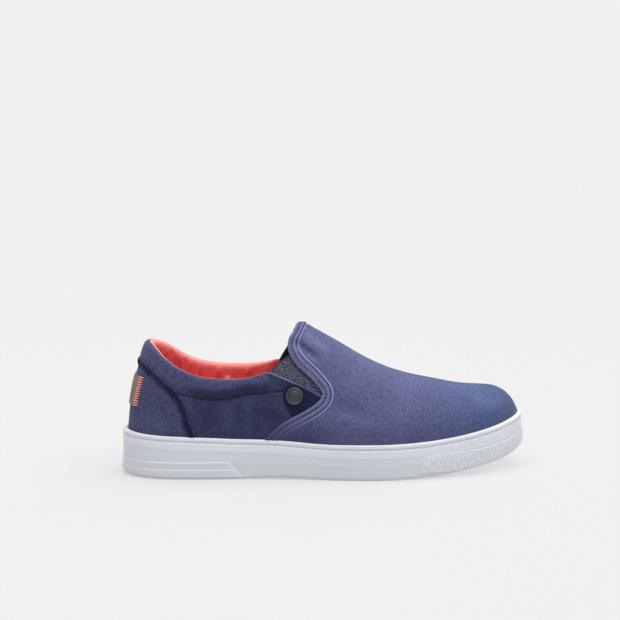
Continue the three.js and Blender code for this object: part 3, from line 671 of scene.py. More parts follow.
def cloudy_material(name, color, shade, roughness, clouds, drift, grain, gloss=None, painted_shade_tone=None, **sockets):
    """Colour that drifts to a shade in clouds over a fine grain, with uneven gloss and painted shade where
    the shade mark is set.
    """
    nodes = Nodes(name, color, roughness, **sockets)
    cloud = nodes.noise(nodes.place, *clouds)
    tone = nodes.mix(nodes.above(cloud, *drift), color, shade)
    # Painted shade: an optional darker tone, laid where the piece's shade mark is set.
    if painted_shade_tone:
        tone = nodes.mix(nodes.mark("shade"), tone, painted_shade_tone)
    if gloss:
        spread = nodes.add("ShaderNodeMapRange", {0: cloud, 3: gloss[0], 4: gloss[1]})
        nodes.feed(nodes.shader["Roughness"], spread.outputs[0])
    texture, scale, distance, strength = grain
    height = nodes.add(texture, {"Vector": nodes.place, "Scale": scale}).outputs[0] if texture else cloud
    return nodes.finish(tone, (height, distance, strength))


RUBBER = dict(
    roughness=0.42, clouds=(14.0, 3.0), drift=(0.4, 0.8), grain=("ShaderNodeTexNoise", 700.0, 0.0002, 0.12),
    gloss=(0.36, 0.52), Coat_Weight=0.05, Coat_Roughness=0.3,
)
THREAD = dict(
    roughness=0.8, clouds=(1800.0, 2.0, 0.6), drift=(0.0, 0.6), grain=(None, None, 0.0002, 0.5),
    Specular_IOR_Level=0.2,
)
PLATING = dict(
    roughness=0.42, clouds=(260.0, 3.0, 0.6), drift=(0.0, 1.0), grain=(None, None, 0.0001, 0.2),
    gloss=(0.34, 0.52), Metallic=0.55,
)
PATCH = dict(clouds=(120.0, 3.0, 0.6), drift=(0.35, 2.0))
COATING = dict(
    PATCH, roughness=0.7, grain=("ShaderNodeTexVoronoi", 1500.0, 0.0001, 0.5), Specular_IOR_Level=0.2
)
SUEDE = dict(PATCH, roughness=0.85, grain=("ShaderNodeTexVoronoi", 1100.0, 0.0002, 0.5))

canvas = canvas_material("washed_canvas", (85, 87, 128), (118, 124, 172), (46, 48, 84), (168, 172, 212))
lining_cloth = canvas_material(
    "coral_lining", (255, 140, 138), (255, 170, 162), (224, 88, 92), (255, 184, 178), 0.5
)
# The last tone of each rubber is painted shade for the shade mark. The toe panel's rubber is a lighter copy,
# painted highlights on the hatch's ridges, with darker painted shade in its grooves.
rubber = cloudy_material("white_rubber", (218, 220, 227), (198, 202, 211), painted_shade_tone=(178, 182, 194), **RUBBER)
toe_rubber_with_painted_light = cloudy_material("toe_rubber_with_painted_light", (234, 236, 242), (224, 226, 234), painted_shade_tone=(156, 162, 177), **RUBBER)
elastic = elastic_material("elastic_webbing", (62, 68, 92), (142, 148, 176), (26, 29, 48))
elastic_back = elastic_material("elastic_back", (22, 22, 28), (44, 46, 56), (8, 8, 12))
badge_coat = cloudy_material("badge_coating", (8, 18, 50), (18, 29, 64), **COATING)
heel_suede = cloudy_material("heel_patch_suede", (134, 116, 113), (110, 96, 96), **SUEDE)
navy_thread = cloudy_material("navy_thread", (12, 17, 44), (30, 37, 76), **THREAD)
orange_thread = cloudy_material("orange_thread", (255, 146, 122), (255, 214, 200), **THREAD)
plating = cloudy_material("dark_plating", (80, 81, 87), (60, 60, 66), **PLATING)
# The quarters' canvas is the vamp's cloth in darker tones: painted shade on the quarters' upright sides.
shaded_quarter_canvas = canvas_material(
    "shaded_quarter_canvas", (68, 71, 108), (100, 105, 148), (36, 39, 70), (140, 145, 188), 1.1, trimmed=True
)


# Upper

OVERLAY = 0.9
BAND_WIDTH = 7.3
BAND_RAISE = 0.5
EDGE_RADIUS = 1.0
EDGE_LEVEL = 0.4
STITCH_ROWS = (3.1, 6.3)
STITCH_PITCH = 2.2
STITCH_COVER = 0.55
STITCH_RADIUS = 0.46
THROAT_DROP = 2.4
THROAT_TIP = 133.5
THROAT_FOOT = 97
LINING_START = 5.5
LINING_OFFSET = -1.75
TOE_FADE = (190, 80)
REAR_FADE = (128, 44)
TIP_FADE = (262, 22)
LOW_FADE = (0, 24)
CREASE_FADE = (-0.105, 0.35)

# Rows of cloth turned in behind the vamp's edge: distance in front of its rear line, offset from the last
TURNED_IN = ((8.5, -1.9), (6.0, -1.6), (3.0, -0.9), (1.6, -0.62))

# Rows on the vamp's face, by distance from its edge: first, end and step
FACE_ROWS = ((1.3, 9.6, 0.32), (9.9, 13.0, 0.6))
FAR_DISTANCE = 20.0
# Count of the first rows, turned in under the edge, that take painted shade
DARK_ROWS = 6

# Lines along the vamp's edge: distance from it, width and strength, of the grooves, the wear with painted
# highlights and the painted shade
BAND_GROOVES = [*((row, 0.5, 0.26) for row in STITCH_ROWS), (BAND_WIDTH + 1.0, 0.8, 0.22)]
BAND_WEAR_AND_HIGHLIGHT = [(0.4, 0.7, 0.25), (BAND_WIDTH + 0.1, 0.38, 0.75), (4.1, 0.5, 0.3), (5.3, 0.4, 0.15)]
BAND_SHADE = [(row, 0.4, 0.2) for row in STITCH_ROWS]

# Creases of the vamp and quarters: side, ends in side view, width and height
CREASES = [
    (1, 126, 97, 143, 84, 1.6, -1.3),
    (1, 123, 93, 143, 79, 1.9, 0.9),
    (1, 131, 100, 152, 86, 2.8, 0.6),
    (1, 86, 54, 88, 34, 4.5, -0.7),
    (1, 78, 54, 79, 34, 4.5, 0.5),
    (1, 97, 50, 99, 32, 4.0, -0.6),
    (1, 100, 54, 118, 49, 3.0, 0.5),
    (1, 101, 49, 117, 43, 3.0, -0.5),
    (1, 152, 58, 178, 46, 5.0, -0.5),
    (1, 156, 48, 182, 38, 4.0, 0.4),
    (1, 62, 52, 66, 34, 7.0, -0.5),
    (1, 88, 56, 96, 34, 9.0, 0.5),
    (1, 104, 60, 112, 36, 7.0, -0.5),
    (1, 14, 44, 36, 36, 6.0, 0.4),
    (1, 268, 42, 284, 36, 4.0, -0.5),
    (1, 252, 50, 276, 44, 5.0, 0.4),
    (-1, 130, 90, 150, 80, 2.8, -0.7),
    (-1, 152, 56, 180, 44, 5.0, -0.5),
    (-1, 70, 54, 76, 34, 8.0, -0.5),
    (-1, 98, 58, 106, 34, 8.0, 0.5),
]


def crease_relief(points, side):
    """Soft troughs and ridges along the creases of one side."""
    total = np.zeros(points.shape[:-1])
    x, z = points[..., 0], points[..., 2]
    for _, x1, z1, x2, z2, width, height in (crease for crease in CREASES if crease[0] == side):
        length = math.hypot(x2 - x1, z2 - z1)
        t = ((x - x1) * (x2 - x1) + (z - z1) * (z2 - z1)) / length**2
        across = ((x - x1) * (z1 - z2) + (z - z1) * (x2 - x1)) / length
        total += height * hump(across, width) * ramp(t, *CREASE_FADE) * ramp(1 - t, *CREASE_FADE)
    return total


def band_offset(distance):
    """Distance of the vamp's face from the last, by side-view distance from its rear edge."""
    raised = OVERLAY + BAND_RAISE * (1 - ramp(distance, BAND_WIDTH - 0.4, 0.9))
    puff = 0.22 * np.sin(limit(distance / STITCH_ROWS[0]) * math.pi)
    return raised + puff - bands(distance, BAND_GROOVES)


def throat_settled(points):
    """The vamp's points with the tip of the throat worn down and rounded."""
    x, z = points[..., 0], points[..., 2]
    drop = THROAT_DROP * ramp(THROAT_TIP - x, 0, 6) - 0.4 * hump(x - THROAT_TIP - 2, 2.5)
    return lifted(points[..., :2], z - drop * ramp(z, THROAT_FOOT, 8))


def joined(outer, inner):
    """Rows of the outer and inner half, joined over their shared crest."""
    return np.concatenate([outer[:-1], ((outer[-1] + inner[-1]) / 2)[None], inner[::-1][1:]])


def make_vamp():
    climb = shares_of(140)
    roll = np.linspace(-math.pi / 2, math.pi / 2, 9)
    edge = [(EDGE_RADIUS * (1 - math.cos(a)), EDGE_LEVEL + EDGE_RADIUS * math.sin(a)) for a in roll]
    folded = np.array([*TURNED_IN, *edge])
    face = np.concatenate([np.arange(*row) for row in FACE_ROWS])
    near = np.concatenate([folded[:, 0], face])
    far = np.linspace(0, 1, 176)[1:] ** 1.15
    offset = np.concatenate([folded[:, 1], band_offset(face), np.full(len(far), OVERLAY)])
    distance = np.concatenate([near, np.full(len(far), FAR_DISTANCE)])
    column = np.arange(len(distance))
    halves = []
    for side in SIDES:
        turns = vamp_turn(climb, near, side)
        turn = side * np.concatenate([turns, turns[:, -1:] + (math.pi - turns[:, -1:]) * far], 1)
        base = last_point(turn, climb)
        x = base[..., 0]
        relief = crease_relief(base, side) * np.where(distance < 9, 0.5, 1)
        total = offset + relief * (column >= len(folded))
        points = throat_settled(surface(turn, climb, tucked(base, total)))
        toe = ramp(points[..., 0], *TOE_FADE)
        # Painted shade: low by the sole and more so towards the heel, on the turned-in rows, along the stitch
        # rows, in the creases' troughs and at the toe's tip; wear adds painted highlights on the band's and
        # the creases' ridges.
        low = (0.8 - 0.5 * ramp(x, *REAR_FADE)) * (1 - ramp(above_rim(points), *LOW_FADE))
        seams = np.where(column < DARK_ROWS, 0.6, bands(distance, BAND_SHADE))
        shade = most(seams, low, 0.4 * limit(-relief), 0.3 * ramp(x, *TIP_FADE))
        wear = limit(bands(distance, BAND_WEAR_AND_HIGHLIGHT) + 0.25 * limit(relief) + 0.03 * toe)
        halves.append((points, wear, shade, toe))
    points, wear, shade, toe = (joined(*pair) for pair in zip(*halves))
    grid_piece("vamp", points, canvas, "canvas", "upper", wear=wear, shade=shade, toe=toe)


def make_vamp_lining():
    climb = shares_of(50)
    halves = []
    for side in SIDES:
        first = vamp_turn(climb, LINING_START, side)
        turn = side * (first + (math.pi - first) * np.linspace(0, 1, 60))
        halves.append(surface(turn, climb, LINING_OFFSET))
    points = joined(*halves)
    grid_piece("vamp_lining", points, lining_cloth, "canvas", "upper", shade=np.full(points.shape[:2], 0.2))


def make_vamp_stitches():
    """Rows of lockstitches along the vamp's edge."""
    climb = np.linspace(0.2, 1, 120)
    whole = joined(climb, climb)
    half = STITCH_PITCH * STITCH_COVER / 2
    for number, row in enumerate(STITCH_ROWS, 1):
        turn = np.concatenate([vamp_turn(climb, row, 1), -vamp_turn(climb, row, -1)[::-1][1:]])
        points = throat_settled(surface(turn, whole, band_offset(row) - 0.1))
        place, normal = along_path(points, last_normal(turn, whole), STITCH_PITCH)
        middle = (place[:-1] + place[1:]) / 2
        reach = unit(np.diff(place, axis=0)) * half
        size = (STITCH_RADIUS, STITCH_RADIUS / 2)
        ends = (middle - reach, middle + reach)
        thread_piece(f"vamp_stitches_{number}", *ends, normal[:-1], *size, navy_thread, "canvas")


# Quarters, collar roll and lining

PAD_THICKNESS = 7.0
PAD_BULGE = 1.5
CORNER_THICKNESS = 3.4
CORNER_BULGE = 0.25
FRONT_THICKNESS = 2.2
QUARTER_END = 152.0
SEAM_ANGLE = 1.42
FRONT_SEAM_ANGLE = 2.6
HEEL_SEAM_TURN = 0.5
SEAM_WIDTH = 2.1
LINING_DEPTH = -1.9
LABEL_ALONG = 75.5
LABEL_HALF = 2.0
LABEL_TOP = 8.7

# Where marks and relief begin, how fast they rise, where they end and how fast they fall
PINCH_RUN = (0.125, 0.02, 0.42, 0.04)
PINCH_SHADE_RUN = (0.13, 0.02, 0.4, 0.04)
EDGE_STRIP = (0.9, 0.5, 6, 2)
FOLD_DEPTHS = (1.5, 5, 24, 10)
FOLD_SHADE_DEPTHS = (2, 3, 14, 12)

# Folds of the collar's lining: length, phase and lean
FOLDS = ((11.0, 0.4, 0.12), (17.0, 2.1, -0.1), (7.3, 4.0, 0.06))

# Lines below the quarter's front edge: depth, width and strength of the wear with painted highlights, and of
# the painted shade
FRONT_WEAR_AND_HIGHLIGHT = [(0.5, 0.5, 0.5), (4.6, 0.5, 0.25)]
FRONT_SHADE = [(2.0, 0.7, 1.0), (4.2, 0.5, 0.9)]


def collar_roll():
    """Turns of the quarters, and their collar line, roll radius, bulge, pinch depth and seam angle."""
    end = halve(lambda turn: last_point(turn, 0.8)[..., 0] > QUARTER_END, 1.0, 2.0, np.zeros(1))[0]
    turn = np.linspace(end, -end, 480)
    line = last_point(turn, climb_below(turn, 0 * turn))
    x = line[:, 0]
    past_corner = x / SOLE_LENGTH - by_side(turn, COLLAR_CORNERS.get)
    share = ramp(-past_corner, 0, 0.09)
    thick = CORNER_THICKNESS + (PAD_THICKNESS - CORNER_THICKNESS) * share
    thick = thick + (FRONT_THICKNESS - thick) * ramp(past_corner, -0.02, 0.03)
    bulge = PAD_BULGE * share + CORNER_BULGE * (1 - share)
    seam = SEAM_ANGLE + HEEL_SEAM_TURN * (1 - ramp(x, 1, 22))
    seam = seam + (FRONT_SEAM_ANGLE - SEAM_ANGLE) * ramp(past_corner * SOLE_LENGTH, -1.5, 2.5)
    return turn, line, thick / 2, bulge, pinch_depth(x / SOLE_LENGTH), seam


def counter_line(count):
    """The counter seam in side view, as a smooth line of points."""
    rows = np.stack([COUNTER_SEAM["along"], COUNTER_SEAM["height"]], -1) * (SOLE_LENGTH, COLLAR_HEIGHT)
    run = run_along(rows)
    at = np.linspace(0, run[-1], count)
    return np.stack([spline_of(run, column)(at) for column in rows.T], -1)


def make_quarters():
    """The wall up to the pinched line, the swell above it and the roll over to the lining's seam."""
    turn, _, radius, bulge, pinch, seam = collar_roll()
    wall = shares_of(90)
    swell = shares_of(26)[1:]
    angle = shares_of(14)[1:] * seam
    depth = np.concatenate([pinch + (radius - pinch) * swell, radius * (1 - np.sin(angle))])
    swell_out = bulge * (1 - (1 - swell) ** 2.4) * ramp(swell, 0, 0.12)
    offset = np.concatenate([0 * turn * wall, swell_out, bulge - radius + radius * np.cos(angle)])
    climb = np.concatenate([climb_below(turn, pinch) * wall, climb_below(turn, depth)])
    base = last_point(turn, climb)
    x, z = base[..., 0], base[..., 2]
    along = x / SOLE_LENGTH
    top = quarter_top(x, turn)
    line_gap, top_gap = z - (top - pinch), top - z
    distance = line_distance(counter_line(80), base)
    beside = np.abs(distance)
    relief = by_side(turn, lambda side: crease_relief(base, side))
    relief = relief * (np.arange(len(climb)) < len(wall))[:, None]
    raised = 0.45 * ramp(SEAM_WIDTH - beside, 0, 0.7) + 0.35 * hump(distance - 1.4, 0.8)
    raised = raised - 0.5 * hump(beside - 2.9, 0.8)
    total = offset - 0.7 * hump(line_gap, 0.9) * between(along, *PINCH_RUN) + raised + relief
    front_edge = ramp(x - by_side(turn, COLLAR_CORNERS.get) * SOLE_LENGTH, -2, 4)
    # Painted shade in the pinched line, beside the counter seam, in the creases' troughs, in the front edge's
    # fold lines and under the roll; the seam's own band and the strip under the front edge are darker too.
    under = ramp(10 - line_gap, 0, 4.5) * ramp(line_gap, -0.5, 1.5) * ramp(x, 36, 34)
    shade = most(
        0.95 * hump(line_gap, 0.75) * between(along, *PINCH_SHADE_RUN),
        0.35 * hump(beside - 2.8, 0.7),
        0.75 * ramp(2.0 - beside, 0, 0.5),
        front_edge * bands(top_gap, FRONT_SHADE),
        0.4 * limit(-relief),
        0.6 * under * (1 - front_edge),
        0.7 * front_edge * between(top_gap, *EDGE_STRIP),
    )
    grid_piece(
        "quarters", surface(turn, climb, tucked(base, total)), shaded_quarter_canvas, "canvas", "upper",
        # Wear with painted highlights on the front edge's folds and the creases' ridges; the low mark adds
        # painted shade under the roll.
        wear=limit(front_edge * bands(top_gap, FRONT_WEAR_AND_HIGHLIGHT) + 0.22 * limit(relief)),
        shade=shade,
        band=ramp(0.85 - np.abs(distance - 1.45), 0, 0.3),
        low=ramp(8.2 - line_gap, 0, 4.2) * (0.3 + 0.7 * ramp(x, 46, 12)),
    )


def make_collar_lining():
    """The lining from the roll's seam down inside the quarters, with its folds and the pale label."""
    turn, line, radius, bulge, pinch, seam = collar_roll()
    roll = shares_of(10)
    swell = shares_of(22)[1:]
    fall = shares_of(40)[1:]
    start = seam - 0.03
    angle = start + (math.pi - start) * roll
    roll_depth = radius * (1 - np.sin(angle)) - 0.12 * np.sin(roll * math.pi)
    climb = climb_below(turn, np.concatenate([roll_depth, radius + (pinch * 1.25 - radius) * swell]))
    climb = np.concatenate([climb, climb[-1] * (1 - fall)])
    inner = bulge - 2 * radius
    offset = np.concatenate([
        bulge - radius + radius * np.cos(angle),
        inner + (LINING_DEPTH - inner) * ramp(swell) + 0.4 * np.sin(swell * math.pi),
        0 * turn * fall + LINING_DEPTH,
    ])
    base = last_point(turn, climb)
    x = base[..., 0]
    drop = quarter_top(x, turn) - base[..., 2]
    run = run_along(line)
    folds = sum(np.sin(2 * math.pi * (run + lean * drop) / wave + phase) / 3 for wave, phase, lean in FOLDS)
    creased = 1 + 1.7 * hump(x - 26, 26)
    strength = 0.8 * creased * between(drop, *FOLD_DEPTHS)
    total = offset - limit(-folds) ** 1.5 * strength * 1.6 + folds * strength * 0.4
    far_side = turn < 0
    # Painted shade in the folds' troughs, deeper down the lining and in the far corner by the gore; wear
    # paints a highlight along the top edge.
    shade = 0.8 * creased * limit(-folds - 0.05) * between(drop, *FOLD_SHADE_DEPTHS)
    shade = shade + 0.12 * ramp(drop, 6, 10)
    shade = shade + 0.9 * ramp(x - COLLAR_CORNERS[-1] * SOLE_LENGTH, -8, 6) * far_side
    label = ramp(LABEL_HALF - np.abs(x - LABEL_ALONG), 0, 0.4) * ramp(drop, LABEL_TOP, 0.4) * far_side
    grid_piece(
        "collar_lining", surface(turn, climb, total), lining_cloth, "canvas", "upper", flip=1,
        wear=0.45 * hump(drop - 0.2, 1.0), shade=limit(shade), label=label,
    )


COUNTER_EDGES = ((-3.0, 0.2), (2.0, 0.9))
COUNTER_PITCH = 2.3
COUNTER_RADIUS = 0.42
COUNTER_ARCH = 0.85


def make_counter_threads():
    """Overlock threads across the counter seam, on both sides of the heel."""
    line = counter_line(160)
    line = line[(line[:, 0] > 2.0) & (line[:, 1] > rim_at(line[:, 0] / SOLE_LENGTH) - 0.5)]
    tangent = unit(np.gradient(line, axis=0))
    across = np.stack([-tangent[:, 1], tangent[:, 0]], -1)
    for side, label in SIDES.items():
        edges = []
        for shift, lift in COUNTER_EDGES:
            at = line + across * shift
            turn, climb = locate(at[:, 0], at[:, 1], side)
            edges.append(along_path(surface(turn, climb, lift), last_normal(turn, climb), COUNTER_PITCH))
        (low, normals), (high, _) = edges
        count = min(len(low), len(high)) - 1
        steps = np.arange(count)

        def spread(rows, at, count=count):
            return rows[np.round(at * (len(rows) - 1) / count).astype(int)]

        jitter = np.sin(steps * 2.4)[:, None] * 0.55 + np.sin(steps * 5.1 + 1)[:, None] * 0.45
        starts, ends = spread(low, steps), spread(high, steps + 1)
        starts = starts + (starts - ends) * jitter * 0.3
        ends = ends + (ends - starts) * jitter * 0.16
        name, radius, arch = f"counter_threads_{label}", COUNTER_RADIUS, COUNTER_ARCH
        thread_piece(name, starts, ends, spread(normals, steps), radius, arch, navy_thread, "canvas")


# Gores

RIB_PITCH = 1.3
RIB_HEIGHT = 0.16
GORE_TOPS = {1: 0.832, -1: 0.94}
GORE_TUCK = 4.2
GORE_FACE = -2.15
GORE_BACK = -3.5
GORE_LIP = -2.8
LIP_RISE = 0.55


def make_gore(side):
    """Elastic sheet between the quarter's front edge and the vamp's rear edge, with its bound top edge."""
    edge = vamp_edge[side]
    corner_x = COLLAR_CORNERS[side] * SOLE_LENGTH
    corner = np.array([corner_x, collar_at(corner_x, side)])
    notch = np.array([edge(NOTCH_SHARE), notch_height])
    s = shares_of(70)
    t = np.linspace(0, 1, 60)[None, :]
    heights = GORE_TOPS[side] + (NOTCH_SHARE - GORE_TOPS[side]) * s
    front = np.stack([edge(heights) + GORE_TUCK, heights * INSTEP_HEIGHT], -1)
    back_x = corner[0] + (notch[0] - corner[0]) * s + 0.4
    back = np.stack([back_x, quarter_top(back_x, side) - GORE_TUCK * ramp(s, 0, 0.12)], -1)
    flat = part_way(back, front, t)
    flat[..., 1] += 0.8 * np.sin(t * math.pi) * (1 - s) ** 2
    turn, climb = locate(flat[..., 0], flat[..., 1], side)
    step = unit(notch - corner)
    rib = (step[0] * (flat[..., 1] - corner[1]) - step[1] * (flat[..., 0] - corner[0])) / RIB_PITCH
    outer = surface(turn, climb, GORE_FACE + RIB_HEIGHT * np.cos(2 * math.pi * rib))
    inner = surface(turn, climb, GORE_BACK)
    lip = surface(turn[:1], climb[:1], GORE_LIP) + [0, 0, LIP_RISE]
    bound = 0.8 * (1 - ramp(s, 0, 0.035)) + 0 * t
    shade = np.concatenate([0 * t + 0.6, bound])
    flip = 0 if side > 0 else (0, 1)
    for part, rows, ribs, marks, material in (
        ("face", (lip, outer), (rib[:1], rib), {"shade": shade}, elastic),
        ("back", (inner[::-1], lip), (rib[::-1], rib[:1]), {}, elastic_back),
    ):
        name = f"{SIDES[side]}_gore_{part}"
        points, ribs = np.concatenate(rows), np.concatenate(ribs)
        grid_piece(name, points, material, "elastic", f"gore_{SIDES[side]}", flip=flip, rib=ribs, **marks)


# Badge, button and heel patch

BUTTON_DIAMETER = 12.7
BUTTON_ALONG = 0.4345
BUTTON_UP = 58.5
BUTTON_RIM = 0.95
RIM_LEVEL = 0.95
RIM_RISE = 0.8
BUTTON_FACE = 1.12
BUTTON_DOME = 0.32
BADGE_LIFT = 0.85
HEEL_PATCH = dict(width=34.0, foot=50.0, height=21.3, lift=1.15)
HEEL_TURN_LENGTH = 72.0
PATCH_EDGE = (0, 0.45, 0.85, 0.97)
WHIP_COUNT = 13
WHIP_ENDS = ((-1.9, 1.1), (4.2, 0.2))
WHIP_RADIUS = 0.46
WHIP_ARCH = 0.7


def closed_curve(points, count):
    """A smooth closed line through points, by Catmull-Rom pieces."""
    n = len(points)
    at = np.arange(count) * n / count
    i = at.astype(int)
    t = (at - i)[:, None]
    a, b, c, d = (points[(i + k) % n] for k in (-1, 0, 1, 2))
    return 0.5 * (2 * b + (c - a) * t + (2 * a - 5 * b + 4 * c - d) * t**2 + (3 * b - a - 3 * c + d) * t**3)


def make_badge():
    """The smooth patch under the button, kept clear of the quarter's top line and the vamp's edge."""
    centre = np.array([BUTTON_ALONG * SOLE_LENGTH, BUTTON_UP])
    line = closed_curve(centre + np.stack([BADGE["along"], BADGE["up"]], -1) * BUTTON_DIAMETER, 160)
    line[:, 1] = np.minimum(line[:, 1], quarter_top(line[:, 0], 1) - 0.7)
    line[:, 0] -= np.clip(line_distance(EDGES[1], line) - 1.2, 0, 40)
    shares = np.array([*np.linspace(0.02, 0.9, 16), 0.94, 0.97, 0.99, 1.0, 1.0])[:, None]
    lifts = np.array([*[BADGE_LIFT] * 16, 0.84, 0.78, 0.62, 0.4, 0.0])[:, None]
    rings = part_way(centre, line, shares)
    turn, climb = locate(rings[..., 0], rings[..., 1], 1)
    grid_piece("badge", surface(turn, climb, lifts), badge_coat, "badge", "badge_patch", wrap=True)


def make_button():
    """Plain snap button with a rolled rim, turned about its axis."""
    radius = BUTTON_DIAMETER / 2
    bend, flat = radius - BUTTON_RIM, radius - 2 * BUTTON_RIM
    bends = np.linspace(-0.4, math.pi, 12)
    rim = [(bend + BUTTON_RIM * math.cos(a), RIM_LEVEL + RIM_RISE * math.sin(a)) for a in bends]
    dome = [(flat * s, BUTTON_FACE + BUTTON_DOME * (1 - s * s)) for s in (0.8, 0.6, 0.4, 0.2, 0.0)]
    profile = np.array([(radius - 0.2, 0.0), *rim, (flat - 0.1, 1.02), (flat - 0.7, 1.1), *dome])
    turn, climb = locate(np.array([BUTTON_ALONG * SOLE_LENGTH]), np.array([BUTTON_UP]), 1)
    normal = last_normal(turn, climb)[0]
    first = unit(np.cross(normal, [0, 0, 1.0]))
    angle = np.linspace(0, 2 * math.pi, 72, endpoint=False)[:, None]
    ring = first * np.cos(angle) + np.cross(normal, first) * np.sin(angle)
    points = surface(turn, climb, 0.8)[0] + profile[:, :1, None] * ring + profile[:, 1:, None] * normal
    grid_piece("button", points, plating, "dark_metal", "snap_button", wrap=True)


def make_heel_patch():
    """The patch wrapped round the back of the heel and the whip stitches over both its ends."""
    width, foot, height = (HEEL_PATCH[key] for key in ("width", "foot", "height"))

    def end_turn(z):
        def is_past(turn):
            return -last_point(turn, climb_to(turn, z))[..., 1] > width / 2

        return halve(is_past, 0, 1.2, z, times=20)

    v = np.array([0, 0, 0.012, 0.03, *np.linspace(0.06, 0.94, 22), 0.97, 0.988, 1, 1])
    u = np.array([-1, -1, -0.99, -0.975, *np.linspace(-0.95, 0.95, 44), 0.975, 0.99, 1, 1])
    lift_v, lift_u = (np.array([*PATCH_EDGE, *[1] * (len(w) - 8), *PATCH_EDGE[::-1]]) for w in (v, u))
    z = foot + height * v
    turn = end_turn(z)[:, None] * u
    points = surface(turn, climb_to(turn, z[:, None]), HEEL_PATCH["lift"] * lift_v[:, None] * lift_u)
    grid_piece("heel_patch_cloth", points, heel_suede, "heel_leather", "heel_patch", flip=1)
    rows = foot + height * (np.arange(WHIP_COUNT) + 0.5) / WHIP_COUNT
    edge = end_turn(rows)
    for side, label in SIDES.items():
        turns = [side * (edge + shift / HEEL_TURN_LENGTH) for shift, _ in WHIP_ENDS]
        starts, ends = (surface(t, climb_to(t, rows), lift) for t, (_, lift) in zip(turns, WHIP_ENDS))
        normals = last_normal(side * edge, climb_to(side * edge, rows))
        name = f"heel_whipstitch_{label}"
        thread_piece(name, starts, ends, normals, WHIP_RADIUS, WHIP_ARCH, orange_thread, "heel_leather")


# Cup sole

LIP_HEIGHT = 2.8
LIP_DEPTH = 0.55
LIP_GROOVE = 0.9
BAND_HEIGHT = 9.5
BAND_STEP = 0.2
WALL_DRAFT = 1.9
DRAFT_END = 0.65
LEDGE_HEIGHTS = (12.6, 7.3)
LEDGE_FOOT = 1.5
LEDGE_STEP = 0.55
LEDGE_END = 80.0
LEDGE_SLANT = 0.9
TOE_TUCK = 1.4
TOE_TUCK_START = 0.93
HEEL_UPRIGHT = 0.75
HEEL_UPRIGHT_END = 0.06
WAVINESS = 0.12
TOE_PANEL_START = 0.728
TOE_PANEL_STEP = 0.25
TOE_PANEL_FOOT = 4.2
TOE_PANEL_TOP = 9.2
TOE_PANEL_SLANT = 0.42
TEXTURE_PITCH = 2.0
TEXTURE_DEPTH = 0.45
TEXTURE_FALL = 2.0
TEXTURE_SLANT = 0.14
FOOTBED_HEIGHT = 5.0
FOOTBED_CUP = 1.9
RIM_SHARES = (0.2, 0.5, 0.8)

# Rows down the sole's wall, by drop below its rim: first, last and count
WALL_ROWS = ((0, 1.0, 5), (1.4, 2.8, 4), (3.05, 5.2, 10), (5.9, 9.2, 5), (9.5, 10.8, 4))

# Wave grooves of the tread: height, pitch, sway and its pitch, then the fields that they fill along the sole
GROOVE_HEIGHT = 1.5
GROOVE_PITCH = 6.5
GROOVE_SWAY = 2.6
SWAY_PITCH = 13
TREAD_FIELDS = ((0.055, 0.01, 0.3, 0.01), (0.42, 0.01, 0.9, 0.01))


def ring_turns(columns):
    """Turns all the way round the sole, positive on the outer side."""
    turn = np.arange(columns) * 2 * math.pi / columns
    return np.where(turn > math.pi, turn - 2 * math.pi, turn)


def wall_inset(drop, along):
    """How far the sole's wall lies inside its plan, by drop below the rim."""
    height = WALL_HEIGHT * rim_share(along)
    edge_round = WALL_HEIGHT * round_share(along)
    lip_foot = LIP_HEIGHT + LIP_GROOVE
    upright = HEEL_UPRIGHT * ramp(HEEL_UPRIGHT_END - along, 0, HEEL_UPRIGHT_END)
    draft = WALL_DRAFT * (1 - ramp(drop, 0, height * DRAFT_END)) * (1 - upright)
    tuck = TOE_TUCK * ramp(along, TOE_TUCK_START, 1 - TOE_TUCK_START) * ramp(drop, 0, 9)
    rim = 0.7 * limit(1 - drop / 0.7) ** 2
    groove = LIP_DEPTH * between(drop, LIP_HEIGHT - 0.35, 0.5, lip_foot, 0.6)
    lip = -0.25 * hump(drop - LIP_HEIGHT + 1.1, 1.1)
    band = -BAND_STEP * between(drop, lip_foot, 0.6, BAND_HEIGHT, 0.8)
    low = limit((drop - height + edge_round) / edge_round)
    return draft + tuck + rim + groove + lip + band + edge_round * (1 - np.sqrt(1 - low**2)) * 0.9


def wall_outset(x, z, along):
    """Heel ledges and the toe panel, as distance proud of the wall."""
    total = WAVINESS * np.sin(x / 13.0) * np.sin(x / 5.3 + 1.0) * ramp(z - rim_at(along), -LIP_HEIGHT - 2, 3)
    for height in LEDGE_HEIGHTS:
        end = LEDGE_END + (LEDGE_HEIGHTS[0] - z) * LEDGE_SLANT
        step = ramp(height - z, 0, 0.7) * ramp(z, LEDGE_FOOT - 0.6, 0.8) * ramp(end - x, 0, 3.6)
        total = total + LEDGE_STEP * step
    start = TOE_PANEL_START * SOLE_LENGTH + (z - TOE_PANEL_FOOT) * TOE_PANEL_SLANT
    low = np.maximum(TOE_PANEL_FOOT, bottom_at(along) + 0.9)
    high = rim_at(along) - TOE_PANEL_TOP
    return total + TOE_PANEL_STEP * ramp(x - start, 0, 0.8) * ramp(z - low, 0, 0.5) * ramp(high - z, 0, 0.5)


